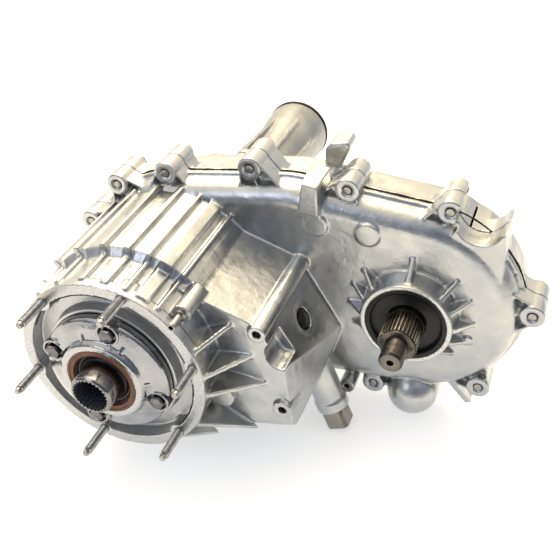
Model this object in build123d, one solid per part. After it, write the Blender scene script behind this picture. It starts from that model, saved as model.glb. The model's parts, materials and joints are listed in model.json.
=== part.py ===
from build123d import *
import os
from math import acos, atan2, cos, degrees, hypot, pi, radians, sin

# A two-speed, part-time transfer case. Millimetres, at its real size.
# The origin is the centre of the round input flange's face, on the main shaft axis.
# +Y runs back along the shafts, +X towards the front output shaft, and +Z is up.

# Casting
WALL = 6.0
RING_R = 100.0
RING_LIP = 12.0
RING_DEPTH = 12.0
FACE_Y = 166.0
SEAM_Y = 197.0
CHAIN_BACK_Y = 250.0
TOWER_BACK_Y = 292.0
OUT_X = 258.0
OUT_Z = 20.5
MAIN_CASE_R = 114.0
OUT_CASE_R = 108.0
CROWN_X = 125.0
CROWN_Z = 27.0
CROWN_R = 109.0
SEAM_LIP = 4.0
SEAM_LIP_W = 7.0
FACE_ROUND = 22.0
BACK_ROUND = 14.0
CHAMBER_R = 96.0
CHAMBER_FRONT_R = 88.0
HUB_FACE_Y = 2.0
HUB_R = 70.0
FLOOR_Y = 16.0
HOUSING_R = 98.0
HOUSING_BACK_R = 107.0
STEP_Y = 50.0
STEP_L = 7.0
TOWER_R = 84.0
REAR_SHOULDER_R = 36.0
REAR_HUB_R = 34.0
REAR_HUB_Y = 258.0
REAR_WEBS = 12
NEEDLE_BOSS_R = 30.0
SEAL_BEAD = 0.6

# Fits: the radial gap of a running shaft, and the gap between other moving neighbours
RUN = 0.05
GAP = 0.3

# Ball bearings: bore radius, outer radius and width
INPUT_BRG = (25.0, 45.0, 20.0)
OUTPUT_BRG = (20.0, 40.0, 18.0)
REAR_BRG = (25.0, 45.0, 20.0)
BALLS = 8
RACE_SHARE = 0.3
GROOVE = 2.0

# Input shaft
NOSE_Y = -41.0
NOSE_R = 22.0
SPLINE_IN_TIP_R = 17.4
SPLINE_IN_ROOT_R = 18.8
SPLINE_IN_TEETH = 27
SPLINE_IN_DEPTH = 58.0
COLLAR_R = 30.0
PILOT_R = 13.0
PILOT_CUP = 4.0
PILOT_Y = 44.0

# Retainer and its seal
RETAINER_R = 66.5
RETAINER_FLANGE = 10.0
RETAINER_LIP_Y = -20.0
SEAL_LIP_R = 44.5
SEAL_R = 37.0
SEAL_W = 9.0
RETAINER_BOLT_R = 57.0
RETAINER_BOLT_ANGLES = (161, 80, -14, 254)
BOLT_M8 = 4.0
RETAINER_RIBS = 7
RETAINER_RIB_T = 3.5
RETAINER_RIB_START = 8.0
EAR_R = 12.0
EAR_H = 5.0

# Studs of the input flange
STUD_R = 4.75
STUD_TAP_R = 4.5
STUD_PCD_R = 93.0
STUD_COUNT = 6
STUD_START = 17.0
STUD_OUT = 38.0
STUD_IN = 22.0
STUD_LOBE_R = 9.5

# Planetary gear set
MODULE = 2.9
SUN_TEETH = 34
PLANET_TEETH = 12
PLANETS = 4
SUN_Y = 60.0
GEAR_W = 28.0
PLATE = 6.0
CARRIER_R = 79.0
PLANET_PIN_R = 6.0
TOOTH_ROOT = 0.62
TOOTH_TIP = 0.34
POST_IN_R = 54.0
POST_FOOT = 14.0
POST_CREST = 24.0

# Range clutch: the dog teeth of the sliding hub
DOG_TEETH = 20
DOG_ROOT_R = 27.6
DOG_TIP_R = 30.2
DOG_L = 13.0
DOG_TOOTH = (0.5, 0.38)
DOG_SPACE = (0.6, 0.48)
LOW_DOG_R = 40.0
HUB_TUBE_R = 26.0
RANGE_TRAVEL = 24.0
FORK_GROOVE_R = 31.0
FORK_COLLAR_R = 38.0
FORK_GROOVE_W = 10.0
COLLAR_RIM = 3.0
SPLINE_PLAY = 0.02

# Main shaft
MAIN_SPLINE_TEETH = 20
MAIN_TIP_R = 20.5
MAIN_ROOT_R = 18.5
SPROCKET_JOURNAL_R = 22.0
TAIL_SHAFT_R = 18.0
TAIL_SPLINE_R = 17.0
TAIL_SPLINE_ROOT_R = 15.4
TAIL_SPLINE_TEETH = 18
TAIL_SPLINE_Y = 440.0
MODE_SPLINE_TEETH = 16
MODE_SPLINE_ROOT_R = 22.5
MODE_SPLINE_TIP_R = 24.5
MAIN_SHOULDER_R = 28.0

# Chain drive
LINKS = 94
SPROCKET_TEETH = 40
CHAIN_W = 34.0
CHAIN_MID_Y = 197.0
LINK_H = 9.0
LINK_GAP = 0.6
TOOTH_H = 4.2
TOOTH_IN = 3.2
LINK_BASE = 1.2
TOE_W = 3.4
TOE_IN = 2.6
WEB_IN = 9.0

# Mode clutch behind the drive sprocket
MODE_TEETH = 30
MODE_ROOT_R = 34.0
MODE_TIP_R = 36.5
MODE_DOG_L = 5.0
MODE_HUB_W = 16.0
MODE_SLEEVE_R = 45.0
MODE_GROOVE_R = 41.0
MODE_GROOVE_W = 6.0
MODE_TRAVEL = 8.0
MODE_FORK_Y = 208.0
MODE_FORK_L = 16.0

# Shift rail, forks and sector
RAIL_X = 103.0
RAIL_Z = -30.0
RAIL_R = 8.0
FORK_BOSS_R = 12.5
SECTOR_ANGLE = -67.5
SECTOR_OFFSET = 20.0
SECTOR_ARM = 48.0
SECTOR_Y = 138.0
SECTOR_PLATE = 5.0
SECTOR_SHAFT_R = 9.0
SECTOR_BOSS_R = 17.0
SECTOR_BOSS_END = 88.0
SECTOR_RIM_L = 12.0
SECTOR_SEAL_R = 13.5
SECTOR_SEAL_W = 6.5
SECTOR_FLAT = 26.0
SECTOR_STUB_R = 15.5
SECTOR_STUB = 23.0
FORK_PIN_R = 4.0
FORK_RIM = 8.0
FORK_MOUTH = 2.0
FORK_ARM_T = 9.0
FORK_ARM_W = 16.0
SECTOR_HUB_R = 14.0
SLOT_PLAY = 0.5
FAN_MARGIN = 12.0

# Front output shaft
OUT_TIP_Y = 80.0
OUT_NOSE_R = 12.0
OUT_NOSE_L = 26.0
OUT_SPLINE_TEETH = 32
OUT_SPLINE_TIP_R = 19.8
OUT_SPLINE_ROOT_R = 17.9
OUT_RIM_Y = 140.0
OUT_COLLAR_R = 47.0
OUT_SEAL_R = 42.0
OUT_SEAL_W = 8.0
OUT_HUB_R = 24.0
OUT_COLLAR_IN = 26.0
OUT_REAR_R = 17.5
OUT_NEEDLE_WALL = 4.5
STAR_TIP_R = 68.0
STAR_ANGLES = (0, 25, 48, 93, 143, 163, 184, 207, 318, 338)

# Extension housing
EXT_FLANGE = 11.0
EXT_BOLTS = 6
EXT_BOLT_R = 88.0
EXT_START = 75.0
EXT_WALL = 5.0
EXT_END_R = 44.6
YOKE_R = 24.0
BUSH_Y = 500.0
BUSH_L = 28.0
BUSH_WALL = 3.0
TAIL_SEAL_Y = BUSH_Y + BUSH_L + 10
TAIL_SEAL_R = 35.0
TAIL_Y = TAIL_SEAL_Y + 12
TAIL_RIM = 4.0
MAIN_END_Y = BUSH_Y - 5

# Seam bolts: which arc of the outline they stand on, the angle there and the distance out
SEAM_BOLTS = (
    ("main", 98, 11), ("crown", 111, 20), ("crown", 64, 20), ("out", 78, 14),
    ("out", 9, 12), ("out", -48, 11), ("out", -106, 15), ("main", 128, 11),
    ("main", 160, 11), ("main", 200, 11), ("main", 236, 11), ("main", 268, 11),
)
SEAM_BOLT_R = 4.0
SEAM_BOSS_R = 12.5
SEAM_WEB_HALF = 25.0
SEAM_WEB_RIM = 2.5
SEAM_MOUTH_R = 6.0
SEAM_MOUTH = 2.5
BOLT_TIP_IN = 1.0
SEAM_BOSS_FRONT = 172.0
SEAM_BOSS_BACK = 222.0


def cyl(y0, y1, r, x=0.0, z=0.0):
    """A cylinder along +Y between two stations."""
    bar = Cylinder(r, y1 - y0, align=(Align.CENTER, Align.CENTER, Align.MIN))
    return Pos(x, y0, z) * Rot(-90, 0, 0) * bar


def ring(y0, y1, r_out, r_in, x=0.0, z=0.0):
    """A plain ring along +Y."""
    return cyl(y0, y1, r_out, x, z) - cyl(y0 - 1, y1 + 1, r_in, x, z)


def turned(points, x=0.0, z=0.0):
    """A solid of revolution about the Y direction from (radius, station) points."""
    face = make_face(Polyline(*points, close=True))
    return Pos(x, 0, z) * revolve(face, Axis.Y, 360)


def slab(face, y0, y1):
    """Extrude an (x, z) face from one station back to another."""
    plane = Plane(origin=(0, y0, 0), x_dir=(1, 0, 0), z_dir=(0, -1, 0))
    return extrude(plane * face, amount=y0 - y1)


def polar(r, deg, x=0.0, z=0.0):
    """The (x, z) point at a radius and angle about a shaft axis."""
    return (x + r * cos(radians(deg)), z + r * sin(radians(deg)))


def belt(grow=0.0):
    """The outline of the chain housing: three arcs joined by their tangents."""
    stations = [
        (0.0, 0.0, MAIN_CASE_R + grow),
        (OUT_X, OUT_Z, OUT_CASE_R + grow),
        (CROWN_X, CROWN_Z, CROWN_R + grow),
    ]
    count = len(stations)
    normals = []
    for i in range(count):
        ax, az, ar = stations[i]
        bx, bz, br = stations[(i + 1) % count]
        heading = degrees(atan2(bz - az, bx - ax))
        normals.append(heading - degrees(acos((ar - br) / hypot(bx - ax, bz - az))))
    edges = []
    for i in range(count):
        x, z, r = stations[i]
        nx, nz, nr = stations[(i + 1) % count]
        first = normals[i - 1]
        sweep_angle = (normals[i] - first) % 360
        edges.append(CenterArc((x, z), r, first, sweep_angle))
        edges.append(Line(polar(r, normals[i], x, z), polar(nr, normals[i], nx, nz)))
    return make_face(edges)


def toothed(teeth, r_root, r_tip, root_share=0.62, tip_share=0.34, phase=0.0):
    """A wheel outline with straight-sided teeth: shares are of one tooth pitch."""
    pitch = 360.0 / teeth
    points = []
    for i in range(teeth):
        mid = phase + i * pitch
        points.append(polar(r_root, mid - pitch * root_share / 2))
        points.append(polar(r_tip, mid - pitch * tip_share / 2))
        points.append(polar(r_tip, mid + pitch * tip_share / 2))
        points.append(polar(r_root, mid + pitch * root_share / 2))
    return make_face(Polyline(*points, close=True))


def at(part, x, z):
    """Shift a part sideways and up."""
    return Pos(x, 0, z) * part


def hex_head(y0, y1, across_flats, x=0.0, z=0.0):
    """A hexagon bar along +Y."""
    return slab(Pos(x, z) * RegularPolygon(across_flats / 2, 6, major_radius=False), y0, y1)


def seam_point(where, angle, out):
    """The (x, z) centre of a seam bolt."""
    x, z, r = {
        "main": (0.0, 0.0, MAIN_CASE_R),
        "crown": (CROWN_X, CROWN_Z, CROWN_R),
        "out": (OUT_X, OUT_Z, OUT_CASE_R),
    }[where]
    return polar(r + out, angle, x, z)


# Derived stations along the shafts
INPUT_BRG_BACK = HUB_FACE_Y + INPUT_BRG[2]
SUN_BACK = SUN_Y + GEAR_W
SUN_PITCH_R = MODULE * SUN_TEETH / 2
PLANET_PITCH_R = MODULE * PLANET_TEETH / 2
RING_TEETH = SUN_TEETH + 2 * PLANET_TEETH
RING_PITCH_R = MODULE * RING_TEETH / 2
PLANET_R = SUN_PITCH_R + PLANET_PITCH_R
ADDENDUM = 0.8 * MODULE
DEDENDUM = 1.25 * MODULE
CARRIER_FRONT_Y = SUN_Y - 2 * GAP - PLATE
CARRIER_BACK_Y = SUN_BACK + 2 * GAP
LOW_DOG_Y = CARRIER_BACK_Y + PLATE
HUB_Y = SUN_BACK - DOG_L - 1
HIGH_DOG_Y = HUB_Y
COLLAR_Y = LOW_DOG_Y + DOG_L + COLLAR_RIM + 6
GROOVE_Y = COLLAR_Y + COLLAR_RIM
HUB_BACK_Y = GROOVE_Y + FORK_GROOVE_W + COLLAR_RIM
SPROCKET_Y = CHAIN_MID_Y - CHAIN_W / 2
SPROCKET_BACK_Y = CHAIN_MID_Y + CHAIN_W / 2
MODE_DOG_BACK = SPROCKET_BACK_Y + 2 + MODE_DOG_L
MODE_HUB_Y = MODE_DOG_BACK + 2 * GAP
MODE_SLEEVE_Y = MODE_DOG_BACK - MODE_DOG_L + GAP
MODE_SLEEVE_W = 13.0
CHAIN_FRONT_WALL = FACE_Y + WALL
CHAIN_BACK_WALL = CHAIN_BACK_Y - WALL
REAR_BRG_Y = CHAIN_BACK_Y + 12
REAR_BRG_BACK = REAR_BRG_Y + REAR_BRG[2]
CENTRES = hypot(OUT_X, OUT_Z)
CENTRES_ANGLE = degrees(atan2(OUT_Z, OUT_X))
CHAIN_PITCH = 2 * CENTRES / (LINKS - SPROCKET_TEETH)
SPROCKET_R = CHAIN_PITCH * SPROCKET_TEETH / (2 * pi)
OUT_BRG_Y = OUT_RIM_Y + OUT_SEAL_W + 2
OUT_BRG_BACK = OUT_BRG_Y + OUTPUT_BRG[2]
NEEDLE_BACK = CHAIN_BACK_WALL + 2
NEEDLE_Y = NEEDLE_BACK - 18
SECTOR_DIR = Vector(cos(radians(SECTOR_ANGLE)), 0, sin(radians(SECTOR_ANGLE)))
SECTOR_SIDE = Vector(-sin(radians(SECTOR_ANGLE)), 0, cos(radians(SECTOR_ANGLE)))
RAIL_AT = Vector(RAIL_X, SECTOR_Y, RAIL_Z)
SECTOR_AT = RAIL_AT + SECTOR_DIR * SECTOR_OFFSET + SECTOR_SIDE * SECTOR_ARM
SECTOR_HALF = degrees(atan2(RANGE_TRAVEL / 2, SECTOR_ARM))
SECTOR_PLANE = Plane(origin=SECTOR_AT, x_dir=-SECTOR_SIDE, z_dir=SECTOR_DIR)
FORK_REST_Y = SECTOR_Y - RANGE_TRAVEL / 2
CHAMBER_Y = INPUT_BRG_BACK + 6
RING_CLIP_BACK = SUN_BACK + 2
RAIL_Y = 50.0
RAIL_FRONT_END = 104.0
RAIL_BACK_Y = CHAIN_BACK_WALL + 2
DETENT_BORE_Y = 62.0
RETAINER_BOLT_L = 16.0


def radial_web(points, thickness, angle, x=0.0, z=0.0):
    """A flat web standing in the radial plane at an angle, from (radius, station) points."""
    web = extrude(make_face(Polyline(*points, close=True)), amount=thickness / 2, both=True)
    return Pos(x, 0, z) * Rot(0, -angle, 0) * web


def long_rib(angle, r_in, r_out, foot, crest, y0, y1, x=0.0, z=0.0):
    """A rib that runs along a shaft: a trapezoid, wider at its foot."""
    section = Polyline(
        (r_in, -foot / 2), (r_out, -crest / 2), (r_out, crest / 2), (r_in, foot / 2), close=True
    )
    return Pos(x, 0, z) * Rot(0, -angle, 0) * slab(make_face(section), y0, y1)


def block(angle, r_in, r_out, width, y0, y1, x=0.0, z=0.0):
    """A rectangular block whose foot stands on a radius."""
    return long_rib(angle, r_in, r_out, width, width, y0, y1, x, z)


# The side chamber of the range sector, seen along the shafts
LOBE = ((40, 88), (97, 70), (135, 58.5), (186, -21), (176, -62), (150, -95), (90, -110), (0, -104), (0, 0))
# Planes that take off its front corners: a point and the outward normal of each
LOBE_TRIMS = (((170, 79, 5), (0.98, -0.141, 0.138)), ((142.5, 44, -65), (0.174, -0.722, -0.669)))
LOBE_TRIM_WALL = 4.0
FACET_RIB = ((130, 54), (131.5, 59.7), (137.7, 60.6), (141.2, 55.2), (139, 51.6))
FACET_RIB_Y = 51.0
POCKET = (160.0, 28.0)
POCKET_R = 16.5
POCKET_END_Y = 75.0
LOBE_FRONT_Y = 44.0
LOBE_WALL = 7.0
LOBE_CAVITY_Y = LOBE_FRONT_Y + 16

# Ribs of the input housing: angle, foot width, crest width
HOUSING_RIBS = (
    (120, 9, 6), (103, 9, 6), (89, 9, 6), (77, 7, 4), (67, 16, 13), (57, 6, 3),
    (138, 9, 6), (156, 9, 6), (174, 9, 6), (192, 9, 6), (210, 9, 6), (228, 9, 6), (246, 9, 6),
)
RIB_FRONT_R = 103.0
RIB_BACK_R = 113.0
GUSSETS = ((26, 126), (9, 136), (-4, 150), (-30, 156), (-49, 136))
GUSSET_T = 5.0

# Small bosses: centre, radius and stations
RAIL_BOSS_R = 13.0
RAIL_BOSS_Y = 30.0
BRACKET_BOSSES = ((138.0, 53.0, 9.0), (164.0, -36.0, 10.0))
BRACKET_BOSS_Y = 38.0
BRACKET_HOLE_R = 4.2
BRACKET_HOLE_L = 18.0
SIDE_HOLE_ANGLE = -116.66
SIDE_HOLE_OUT = 28.0
SIDE_BOSS_R = 9.0
SIDE_HOLE_R = 3.4
FACE_PADS = ((153.0, 102.0, 12.5), (207.0, 102.0, 12.5), (319.5, -1.0, 5.0))
FACE_PAD_H = 2.5
DOME_ANGLE = -85.2
DOME_OUT = 10.9
DOME_R = 28.0
DOME_WALL = 7.0
DOME_Y = 180.0
DOME_BACK = 226.0
# Lugs: points sideways from the crown's centre and above its top
LUG_FRONT = ((11, -20), (14, 14), (30, 11), (32, -20))
LUG_FRONT_BACK = ((10, -20), (13, 18), (36, 24), (40, -20))
LUG_REAR = ((22, -16), (21, 27), (27, 34), (44, 38), (47, 32), (41, 16), (35, 3), (35, -16))
LUG_LEAD = 8.0
LUG_L = 26.0
LUG_STEP = 15.0
# The cradle's outline and groove, as shares of the output case's radius
CRADLE = ((0.25, 0.83), (0.30, 0.94), (0.676, 0.94), (0.745, 1.0), (0.769, 0.736), (0.769, 0.458), (0.389, 0.551))
CRADLE_GROOVE = (0.509, 1.06)
CRADLE_GROOVE_R = 24.0
CRADLE_L = 27.0
FOOT_WEB_ANGLE = -61.0
FOOT_WEB_OUT = 40.0
FOOT_WEB_T = 7.0

# Vent, switch and plugs
VENT_ANGLE = 46.0
VENT_OUT = 6.0
VENT_R = 3.5
VENT_BORE_R = 2.0
VENT_TIP_Y = -3.0
VENT_SEAT_Y = 18.0
VENT_SEAT_L = 12.0
VENT_BOSS_R = 9.5
SWITCH_AT = Vector(160, 117, 20)
SWITCH_FACE = Vector(0.8416, 0, 0.5402)
SWITCH_R = 12.0
SWITCH_FACE_R = 18.0
SWITCH_SINK = 1.2
SWITCH_HEX = 17.0
SWITCH_HEAD = 3.0
SWITCH_TOP = -4.0
SWITCH_PIN_R = 2.5
SWITCH_SHANK = 9.0
PLUG_R = 11.0
PLUG_HEX = 19.0
PLUG_HEAD = 6.0
PLUG_PLACES = ((150.0, 12.0), (176.0, -58.0))
PLUG_BOSS_R = 17.0
PLUG_BOSS_H = 4.0

# Detent of the sector: a plunger and spring in a blind bore, pressed back at the sector's rim
DETENT_R = 5.0
DETENT_BOSS_R = 9.0
DETENT_END_Y = 97.0
DETENT_RIM_R = 30.0
DETENT_L = 22.0
DETENT_TRAVEL = 2.0
DETENT_NOTCH = 2.4
SPRING_TURNS = 4
SPRING_WIRE = 0.9

# Circlips and dowels
CIRCLIP_W = 2.0
CIRCLIP_SEAT = 2.0
CIRCLIP_H = 4.0
CLIP_GAP = 6.0
DOWELS = (("main", 218, -1), ("out", 30, -1))
DOWEL_R = 3.5
DOWEL_L = 6.5

# Oil side
PUMP_R = 66.0
PUMP_W = 8.0
ROTOR_R = 30.0
PICKUP_Z = -58.0
PICKUP_R = 5.0
PICKUP_Y = 226.0
PICKUP_BEND = 9.0
STRAINER = (40.0, 18.0, 9.0)
ROTOR_LOBES = 9
MAGNET_X = 50.0
MAGNET_Z = -68.0
MAGNET_R = 9.0
MAGNET_H = 5.0

# Speed pick-up
TONE_R = 34.0
TONE_TEETH = 16
TONE_Y = 312.0
TONE_W = 10.0
SENSOR_ANGLE = 215.0
SENSOR_R = 8.0
SENSOR_HEAD_R = 12.0
SENSOR_TOP_R = 92.0
SENSOR_SEAT_R = 74.0

# Fasteners: head across flats and height
M8_HEX = 13.0
M8_HEAD = 8.0
M8_WASHER_R = 9.0
M8_WASHER_H = 1.5

# Outer profile of the extension housing, (radius, station)
EXT_FOOT_R = 66.0
EXT_PROFILE = ((62, 330), (43, 374), (38, 410), (39.5, 470), (EXT_END_R, TAIL_SEAL_Y))
EXT_RIBS = 8
EXT_RIB_T = 4.0
EXT_RIB_R = 50.0


def lobe_face(grow=0.0):
    """The outline of the side chamber, grown or shrunk."""
    face = make_face(Polyline(*LOBE, close=True))
    return offset(face, amount=grow, kind=Kind.INTERSECTION) if grow else face


def seam_boss(where, angle, out, y0, y1, front):
    """A bolt boss at the seam on a triangular web, with pockets in the web's end."""
    x, z = seam_point(where, angle, out)
    depth, web = out + 8, 3
    foot = Pos(x, z) * Rot(0, 0, angle)
    outline = make_face(Polyline(
        (0, -SEAM_BOSS_R), (-depth, -SEAM_WEB_HALF), (-depth, SEAM_WEB_HALF), (0, SEAM_BOSS_R), close=True
    ))
    step = web if front else -web
    low, high = (y0 + step, y1) if front else (y0, y1 + step)
    pocket_y = (low - 1, low + 9) if front else (high - 9, high + 1)
    pockets = offset(outline, amount=-SEAM_WEB_RIM, kind=Kind.INTERSECTION) - Rectangle(3 * depth, SEAM_WEB_RIM)
    webs = slab(foot * outline, low, high) - slab(foot * pockets, *pocket_y)
    return webs + cyl(y0, y1, SEAM_BOSS_R, x, z)


def case_at(angle, out):
    """The (x, z) point at an angle about the output axis, measured out from the case's rim."""
    return polar(OUT_CASE_R + out, angle, OUT_X, OUT_Z)


def lug_face(points):
    """The outline of a lug that stands on the crown of the chain housing."""
    return make_face(Polyline(*[(CROWN_X + x, CROWN_Z + CROWN_R + z) for x, z in points], close=True))


def cradle(y0, y1):
    """One half of the cradle beside the crown, with its groove."""
    outline = [(OUT_X + OUT_CASE_R * x, OUT_Z + OUT_CASE_R * z) for x, z in CRADLE]
    return slab(make_face(Polyline(*outline, close=True)), y0, y1)


def cradle_groove():
    """The groove across both halves of the cradle."""
    x, z = CRADLE_GROOVE
    return cyl(FACE_Y - 20, CHAIN_BACK_Y, CRADLE_GROOVE_R, OUT_X + OUT_CASE_R * x, OUT_Z + OUT_CASE_R * z)


def lobe_solid(grow, trim, y0, y1):
    """The side chamber or its room as a solid, with the front corners taken off."""
    body = slab(lobe_face(grow), y0, y1)
    block_size = 4 * MAIN_CASE_R
    for point, way in LOBE_TRIMS:
        start = Vector(*point) + Vector(*way) * trim
        waste = Box(block_size, block_size, block_size, align=(Align.CENTER, Align.CENTER, Align.MIN))
        body -= Plane(origin=start, z_dir=way).location * waste
    return body


def shell_half(y0, y1, round_edge, front):
    """The plain belt-shaped half of the chain housing with its seam lip."""
    shell = slab(belt(), y0, y1)
    shell = fillet(shell.edges().group_by(Axis.Y)[0 if front else -1], round_edge)
    lip = (y1 - SEAM_LIP_W, y1) if front else (y0, y0 + SEAM_LIP_W)
    return shell + slab(belt(SEAM_LIP), *lip)


def chain_room(y0, y1, round_edge, front):
    """The hollow of one half of the chain housing, rounded like the outside of its end wall."""
    room = slab(belt(-WALL), y0, y1)
    return fillet(room.edges().group_by(Axis.Y)[0 if front else -1], round_edge)


def sector_bar(r, start, end):
    """A cylinder along the sector shaft, by distance from the sector plate."""
    bar = Cylinder(r, end - start, align=(Align.CENTER, Align.CENTER, Align.MIN))
    return SECTOR_PLANE.offset(start).location * bar


def switch_bar(r, start, end):
    """A cylinder square to the slanted facet, by height above it."""
    bar = Cylinder(r, end - start, align=(Align.CENTER, Align.CENTER, Align.MIN))
    return Plane(origin=SWITCH_AT + SWITCH_FACE * start, z_dir=SWITCH_FACE).location * bar


def seam_holes(y0, y1):
    """Bolt holes of the seam between two stations."""
    return [cyl(y0, y1, SEAM_BOLT_R, *seam_point(*place)) for place in SEAM_BOLTS]


def dowel_pins(y0, y1):
    """The dowels, or their holes, between two stations."""
    return [cyl(y0, y1, DOWEL_R, *seam_point(*place)) for place in DOWELS]


def front_case():
    housing = turned([
        (0, 0), (RING_R, 0), (RING_R, RING_DEPTH), (HOUSING_R, RING_DEPTH), (HOUSING_R, STEP_Y),
        (HOUSING_BACK_R, STEP_Y + STEP_L), (HOUSING_BACK_R, FACE_Y + 2), (0, FACE_Y + 2),
    ])
    adds = [housing, lobe_solid(0, 0, LOBE_FRONT_Y, CHAIN_FRONT_WALL)]
    adds.append(slab(make_face(Polyline(*FACET_RIB, close=True)), FACET_RIB_Y, FACE_Y))
    for angle, foot, crest in HOUSING_RIBS:
        adds.append(long_rib(angle, HOUSING_R - 4, RIB_FRONT_R, foot, crest, RING_DEPTH / 2, STEP_Y))
        adds.append(long_rib(angle, HOUSING_R, RIB_BACK_R, foot, crest, STEP_Y, CHAIN_FRONT_WALL))
    inner = RING_R - RING_LIP + 2
    for angle, tip in GUSSETS:
        profile = [(inner, 2), (RING_R - 1, 2), (tip, LOBE_FRONT_Y + 2), (inner, LOBE_FRONT_Y + 2)]
        adds.append(radial_web(profile, GUSSET_T, angle))
    adds.append(turned([
        (0, OUT_RIM_Y), (OUT_COLLAR_R, OUT_RIM_Y), (OUT_COLLAR_R + 3, CHAIN_FRONT_WALL), (0, CHAIN_FRONT_WALL)
    ], OUT_X, OUT_Z))
    root = OUT_COLLAR_R - 2
    for angle in STAR_ANGLES:
        profile = [(root, OUT_RIM_Y + 3), (STAR_TIP_R, FACE_Y + 1), (root, FACE_Y + 1)]
        adds.append(radial_web(profile, GUSSET_T, angle, OUT_X, OUT_Z))
    adds.append(cyl(RAIL_BOSS_Y, LOBE_FRONT_Y + 1, RAIL_BOSS_R, RAIL_X, RAIL_Z))
    for x, z, r in BRACKET_BOSSES:
        adds.append(cyl(BRACKET_BOSS_Y, FACE_Y, r, x, z))
    side_x, side_z = case_at(SIDE_HOLE_ANGLE, SIDE_HOLE_OUT)
    adds.append(cyl(FACE_Y - 6, SEAM_Y, SIDE_BOSS_R, side_x, side_z))
    for x, z, r in FACE_PADS:
        adds.append(cyl(FACE_Y - FACE_PAD_H, FACE_Y + 1, r, x, z))
    lug_y = FACE_Y - LUG_LEAD
    ends = [slab(lug_face(LUG_FRONT), lug_y, lug_y + 1), slab(lug_face(LUG_FRONT_BACK), lug_y + LUG_L - 1, lug_y + LUG_L)]
    adds.append(loft([ends[0].faces().sort_by(Axis.Y)[0], ends[1].faces().sort_by(Axis.Y)[-1]]))
    adds.append(cradle(SEAM_Y - CRADLE_L, SEAM_Y))
    foot = OUT_CASE_R - 25
    tip = OUT_CASE_R + FOOT_WEB_OUT
    web = [(foot, FACE_Y + 1), (tip - 19, SEAM_Y - 14), (tip, SEAM_Y - 7), (tip, SEAM_Y), (foot, SEAM_Y)]
    adds.append(radial_web(web, FOOT_WEB_T, FOOT_WEB_ANGLE, OUT_X, OUT_Z))
    dome = case_at(DOME_ANGLE, DOME_OUT)
    adds.append(cyl(DOME_Y, SEAM_Y, DOME_R, *dome))
    adds.append(Pos(dome[0], DOME_Y, dome[1]) * Sphere(DOME_R))
    for place in SEAM_BOLTS:
        adds.append(seam_boss(*place, SEAM_BOSS_FRONT, SEAM_Y, True))
    adds.append(sector_bar(SECTOR_BOSS_R, SECTOR_BOSS_R, SECTOR_BOSS_END))
    adds.append(sector_bar(SECTOR_BOSS_R + 1.5, SECTOR_BOSS_END - SECTOR_RIM_L, SECTOR_BOSS_END))
    vent = polar(HOUSING_R + VENT_OUT, VENT_ANGLE)
    adds.append(cyl(VENT_SEAT_Y, STEP_Y + STEP_L, VENT_BOSS_R, *vent))
    lobe_room = lobe_solid(-LOBE_WALL, -LOBE_TRIM_WALL, LOBE_CAVITY_Y, SEAM_Y + 1) - [
        cyl(LOBE_CAVITY_Y - 1, POCKET_END_Y + WALL, POCKET_R + WALL, *POCKET),
        cyl(LOBE_CAVITY_Y - 1, RING_CLIP_BACK + WALL, CHAMBER_R + WALL),
        cyl(LOBE_CAVITY_Y - 1, RAIL_FRONT_END, RAIL_BOSS_R, RAIL_X, RAIL_Z),
        cyl(LOBE_CAVITY_Y - 1, DETENT_END_Y, DETENT_BOSS_R, SECTOR_AT.X, SECTOR_AT.Z),
    ]
    cuts = [
        cyl(-1, HUB_FACE_Y, RING_R - RING_LIP),
        ring(-1, FLOOR_Y, RING_R - RING_LIP, HUB_R),
        cyl(0, INPUT_BRG_BACK, INPUT_BRG[1]),
        cyl(0, CHAMBER_Y + 1, INPUT_BRG[1] - 5),
        cyl(CHAMBER_Y, SUN_Y + 1, CHAMBER_FRONT_R),
        cyl(SUN_Y, SEAM_Y + 1, CHAMBER_R),
        cyl(SUN_BACK, RING_CLIP_BACK, CHAMBER_R + CIRCLIP_SEAT),
        chain_room(CHAIN_FRONT_WALL, SEAM_Y + 1, FACE_ROUND - WALL, True),
        lobe_room,
        cyl(SEAM_Y, SEAM_Y + DOME_R, DOME_R + 1, *dome),
        cyl(DOME_Y, SEAM_Y + 1, DOME_R - DOME_WALL, *dome),
        cyl(RAIL_Y, SEAM_Y, RAIL_R, RAIL_X, RAIL_Z),
        cyl(DETENT_BORE_Y, DETENT_END_Y + 1, DETENT_R + RUN, SECTOR_AT.X, SECTOR_AT.Z),
        sector_bar(SECTOR_SHAFT_R + RUN, 0, SECTOR_BOSS_END + 1),
        sector_bar(SECTOR_SEAL_R, SECTOR_BOSS_END + 1.5 - SECTOR_SEAL_W, SECTOR_BOSS_END + 1),
        cyl(FACE_Y - 7, FACE_Y + 12, SIDE_HOLE_R, side_x, side_z),
        cradle_groove(),
        cyl(LOBE_FRONT_Y - 1, POCKET_END_Y, POCKET_R, *POCKET),
        switch_bar(SWITCH_R, -SWITCH_SHANK - 1, 1),
        switch_bar(SWITCH_FACE_R, -SWITCH_SINK, 4),
        cyl(VENT_SEAT_Y - 1, VENT_SEAT_Y + VENT_SEAT_L, VENT_R, *vent),
    ]
    for angle in RETAINER_BOLT_ANGLES:
        cuts.append(cyl(-1, HUB_FACE_Y + RETAINER_BOLT_L, BOLT_M8, *polar(RETAINER_BOLT_R, angle)))
    for x, z, r in BRACKET_BOSSES:
        cuts.append(cyl(BRACKET_BOSS_Y - 1, BRACKET_BOSS_Y + BRACKET_HOLE_L, BRACKET_HOLE_R, x, z))
    cuts += seam_holes(SEAM_BOSS_FRONT - 1, SEAM_Y + 1)
    cuts += [cyl(SEAM_BOSS_FRONT - 1, SEAM_BOSS_FRONT + SEAM_MOUTH, SEAM_MOUTH_R, *seam_point(*p)) for p in SEAM_BOLTS]
    cuts += dowel_pins(SEAM_Y - DOWEL_L, SEAM_Y + 1)
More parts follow.
